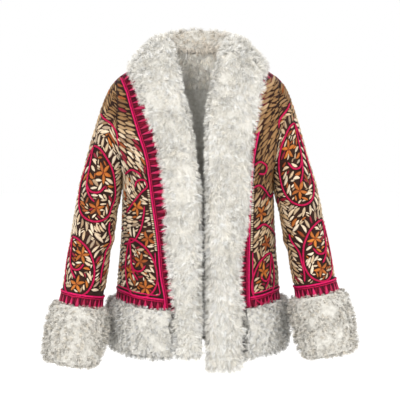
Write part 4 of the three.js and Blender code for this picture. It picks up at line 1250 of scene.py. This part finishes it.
skinTrees = []
for name in ("back", "front_left", "front_right", "sleeve_left", "sleeve_right"):
    points, tris = meshArrays(nodes[name])
    skinTrees.append(BVHTree.FromPolygons(points.tolist(), tris.tolist()))


# Faces that show: a short ray from a face that lies on a skin meets the skin at once.
def showing(points, tris):
    a, b, c = points[tris[:, 0]], points[tris[:, 1]], points[tris[:, 2]]
    middle, normal = (a + b + c) / 3, np.cross(b - a, c - a)
    area = np.linalg.norm(normal, axis=1)
    normal = normal / np.maximum(area, 1e-9)[:, None]
    hits = [any(tree.ray_cast(Vector(p), Vector(n), 3.0)[0] is not None for tree in skinTrees)
            for p, n in zip(middle, normal)]
    return normal, area / 2, ~np.array(hits)


# Normals of the points: the mean of the faces round each, weighted by their area.
def pointNormals(points, tris):
    unique, back = np.unique(np.round(points, 2), axis=0, return_inverse=True)
    back = np.ravel(back)
    a, b, c = points[tris[:, 0]], points[tris[:, 1]], points[tris[:, 2]]
    total = np.zeros((len(unique), 3))
    for k in range(3):
        np.add.at(total, back[tris[:, k]], np.cross(b - a, c - a))
    total /= np.maximum(np.linalg.norm(total, axis=1, keepdims=True), 1e-9)
    return total[back]


wool = {
    "white": srgb("#DEDEDC"),
    "cream": srgb("#DAD5CA"),
    "grey": srgb("#B9B8B4"),
    "tan": srgb("#BDA37E"),
}
# root, length, width, curl and spread in mm; area is what one strand covers, and many strands make a lock;
# shade is the wool's tint against the plain wool; dark is painted shade, how much darker the root is
furStyles = {
    "fluffy": {"root": 6.5, "length": 14.5, "width": 0.95, "curl": 1.2, "turns": 0.6, "droop": 0.42,
               "knots": 4, "area": 5.9, "many": 9, "spread": 5.0, "draw": 0.4, "sway": 0.34, "stray": 0.22,
               "shade": 1.13, "dark": 0.2},
    "curly": {"root": 6.5, "length": 12.5, "width": 1.15, "curl": 2.9, "turns": 1.25, "droop": 0.2,
              "knots": 6, "area": 11.4, "many": 6, "spread": 2.4, "draw": 0.4, "sway": 0.46, "stray": 0.1,
              "shade": 0.93, "dark": 0.36},
}


# Strand: a flat ribbon along its lock's leaning line, which bows down a little, with a helix about it that
# opens from the root. A lock's strands start spread out, and are drawn together a little towards its tip.
def strandPiece(name, roots, normals, style, tones, material, grow=1.0):
    count, knots, many = len(roots), style["knots"], style["many"]
    t = np.linspace(0, 1, knots)[None, :, None]
    lean = rng.normal(0, style["sway"], (count, 3)) - np.array([0, 0, style["droop"]])
    x, y, z = roots.T
    swirl = np.stack([np.sin(z / 23 + x / 19), np.cos(x / 27 - z / 31), np.sin(x / 21 + y / 17)], 1) * 0.3
    way = normals + lean + swirl
    way /= np.linalg.norm(way, axis=1, keepdims=True)
    way = way + normals * np.maximum(0, 0.5 - (way * normals).sum(1, keepdims=True))
    length = style["length"] * (0.85 + 0.3 * rng.random(count)) * grow
    phase = rng.random(count) * 2 * np.pi
    curl = style["curl"] * (0.6 + 0.8 * rng.random(count))
    turns = style["turns"] * (0.75 + 0.5 * rng.random(count)) * np.where(rng.random(count) < 0.5, 1, -1)
    light = 0.9 + 0.16 * rng.random(count)
    # one row for each strand from here on
    own = np.repeat(np.arange(count), many)
    total = len(own)
    up = normals[own]
    heading = way[own] + rng.normal(0, style["stray"], (total, 3))
    heading /= np.linalg.norm(heading, axis=1, keepdims=True)
    side = np.cross(heading, rng.normal(0, 1, (total, 3)))
    side /= np.maximum(np.linalg.norm(side, axis=1, keepdims=True), 1e-9)
    other = np.cross(heading, side)[:, None]
    offset = rng.normal(0, style["spread"] / 2, (total, 3))
    offset -= (offset * up).sum(1, keepdims=True) * up
    around = (phase[own] + rng.normal(0, 0.5, total))[:, None, None]
    around = around + 2 * np.pi * turns[own][:, None, None] * t
    radius = (curl[own] * (0.8 + 0.4 * rng.random(total)))[:, None, None] * t**0.7
    reach = (length[own] * (0.8 + 0.3 * rng.random(total)))[:, None, None]
    line = ((roots[own] + offset)[:, None] - offset[:, None] * style["draw"] * t
            + heading[:, None] * reach * (t - 0.14 * t * t)
            + radius * (np.cos(around) * side[:, None] + np.sin(around) * other)
            - np.array([0, 0, 0.14])[None, None] * reach * t * t)
    tangent = np.gradient(line, axis=1)
    flat = np.cross(tangent, up[:, None] + 0.3 * side[:, None])
    flat /= np.maximum(np.linalg.norm(flat, axis=2, keepdims=True), 1e-9)
    half = (style["width"] / 2 * (0.8 + 0.4 * rng.random(total)))[:, None, None] * (1 - t**2 * 0.8)
    points = np.stack([line - flat * half, line + flat * half], 2).reshape(-1, 3)
    cell = np.array([[2 * k, 2 * k + 1, 2 * k + 3, 2 * k + 2] for k in range(knots - 1)])
    faces = (cell[None] + (np.arange(total) * knots * 2)[:, None, None]).reshape(-1, 4)
    # painted shade: each strand's tint is darker towards its root, by dark, where the pile shades itself
    rootShadeTint = (1 - style["dark"] * (1 - t)) * style["shade"]
    tint = np.clip((tones * light[:, None])[own][:, None] * rootShadeTint * np.ones((1, knots, 1)), 0, 1)
    return makeMesh(name, points, faces, material, np.repeat(tint, 2, axis=1).reshape(-1, 3))


# Colours of the locks: from white to cream, some of them grey, and tan by the share that is given, which
# also makes them lighter: painted light on wool that lies in the collar's shade.
def furTone(roots, inner):
    tone = mix(wool["white"], wool["cream"], rng.random((len(roots), 1)))
    tone = np.where(rng.random((len(roots), 1)) < 0.15, mix(tone, wool["grey"], 0.7), tone)
    # painted light: by the same share the tint is made lighter, to lift wool that lies in the collar's
    # shade
    return mix(tone, wool["tan"], inner[:, None] * 0.3) * (1 + 0.12 * inner[:, None])


# Under body: the solid drawn in along its normals, with lumps as large as locks from a sine times a cosine.
def underBody(name, node, inset=6.2):
    points, tris = meshArrays(node)
    x, y, z = points.T
    lump = 1.3 * np.sin(x / 5.1 + z / 6.3) * np.cos(y / 5.7 + z / 7.9)
    points = points - pointNormals(points, tris) * (inset + lump)[:, None]
    return makeMesh(name, points, tris, materials["underfur"])


# the cuffs' wool is creamier, and longest round the middle: less by the cube of the way to an end
cuffWool = {"tint": np.array([1.0, 0.965, 0.91]), "middle": 1.14, "less": 0.5}
furPieces = {
    "collar": "fluffy", "front_trim_left": "fluffy", "front_trim_right": "fluffy",
    "hem_trim_left": "curly", "hem_trim_right": "curly", "hem_trim_back": "curly",
    "cuff_left": "curly", "cuff_right": "curly",
}
for name, kind in furPieces.items():
    style = furStyles[kind]
    points, tris = meshArrays(nodes[name])
    faceNormal, area, shows = showing(points, tris)
    normal = pointNormals(points, tris)
    weight = np.where(shows, area, 0)
    count = int(weight.sum() / style["area"] / style["many"])
    pick = rng.choice(len(tris), count, p=weight / weight.sum())
    w = rng.dirichlet([1, 1, 1], count)[:, :, None]
    place, n = (points[tris[pick]] * w).sum(1), (normal[tris[pick]] * w).sum(1)
    n /= np.maximum(np.linalg.norm(n, axis=1, keepdims=True), 1e-9)
    n = np.where((n * faceNormal[pick]).sum(1, keepdims=True) < 0.2, faceNormal[pick], n)
    inner = smooth((-n[:, 1] - 0.1) / 0.6) * smooth((place[:, 1] - 5) / 20) * (name == "collar")
    tones = furTone(place, inner)
    grow = 1.0
    if name.startswith("cuff"):
        middle, reach = (points[:, 2].max() + points[:, 2].min()) / 2, np.ptp(points[:, 2]) / 2
        grow = cuffWool["middle"] - cuffWool["less"] * np.abs((place[:, 2] - middle) / reach) ** 3
        tones = tones * cuffWool["tint"]
    piece = strandPiece("fur_" + name, place - n * style["root"], n, style, tones, materials["wool"], grow)
    under = underBody("underfur_" + name, nodes[name])
    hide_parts(name)
    print("fur on", name, count, "locks", count * style["many"] * (style["knots"] - 1) * 2, "triangles")

# Long wool on the inside of the back, from the collar down to where the clipped fleece starts.
neckWool = {"half": 105, "low": -34, "high": 38, "tan": 0.45, "light": 1.3, "locks": 380}
x = rng.uniform(-neckWool["half"], neckWool["half"], neckWool["locks"])
z = rng.uniform(neckWool["low"], neckWool["high"], neckWool["locks"])
inHalf = np.abs(x) < lookup(bodyTable, "z", z, "half") * 0.97
x, z = x[inHalf], z[inHalf]
turn = -turnAtX(x, z)
n = bodyNormal(turn, z)
place = bodyPoint(turn, z) - n * (wall - 1.5)
# painted light: the light factor makes the neck's wool lighter, lifting it out of the shade under the
# collar
tones = furTone(place, np.full(len(x), neckWool["tan"])) * neckWool["light"]
piece = strandPiece("fur_neck_inside", place, -n, furStyles["fluffy"], tones, materials["wool"])
print("wool inside the neck")

# Stage: floor, light and camera

floorMesh = bpy.data.meshes.new("floor")
corners = [(-9, -5, -0.95), (9, -5, -0.95), (9, 14, -0.95), (-9, 14, -0.95)]
floorMesh.from_pydata(corners, [], [(0, 1, 2, 3)])
floor = bpy.data.objects.new("floor", floorMesh)
bpy.context.scene.collection.objects.link(floor)
floorMaterial, _, floorShader = newMaterial("floor", 0.9)
floorShader.inputs["Base Color"].default_value = (1, 1, 1, 1)
floorMesh.materials.append(floorMaterial)

world = bpy.data.worlds.new("studio")
bpy.context.scene.world = world
world.use_nodes = True
world.node_tree.nodes["Background"].inputs["Color"].default_value = (1, 1, 1, 1)
world.node_tree.nodes["Background"].inputs["Strength"].default_value = 1.0

lamps = {
    "key": {"place": (-1.5, -3.2, 1.7), "aim": (0, 0, -0.25), "power": 95, "size": 1.6},
    "fill": {"place": (2.4, -2.8, 0.5), "aim": (0, 0, -0.3), "power": 60, "size": 2.0},
    "rim": {"place": (0.4, 2.6, 2.2), "aim": (0, 0, -0.2), "power": 30, "size": 2.0},
}
for name, lamp in lamps.items():
    data = bpy.data.lights.new(name, "AREA")
    data.energy = lamp["power"]
    data.size = lamp["size"]
    light = bpy.data.objects.new(name, data)
    light.location = lamp["place"]
    aim = Vector(lamp["aim"]) - Vector(lamp["place"])
    light.rotation_euler = aim.to_track_quat("-Z", "Y").to_euler()
    bpy.context.scene.collection.objects.link(light)

camera = {"distance": 3.6, "height": 3.0, "aim": (0.0045, 0, -0.2925), "lens": 144}
data = bpy.data.cameras.new("camera")
data.lens = camera["lens"]
data.sensor_width = 36
view = bpy.data.objects.new("camera", data)
tilt = math.radians(camera["height"])
back = camera["distance"] * math.cos(tilt)
up = camera["distance"] * math.sin(tilt)
view.location = (camera["aim"][0], camera["aim"][1] - back, camera["aim"][2] + up)
view.rotation_euler = (math.radians(90) - tilt, 0, 0)
bpy.context.scene.collection.objects.link(view)
bpy.context.scene.camera = view
bpy.context.scene.view_settings.view_transform = "Standard"
bpy.context.scene.view_settings.look = "None"
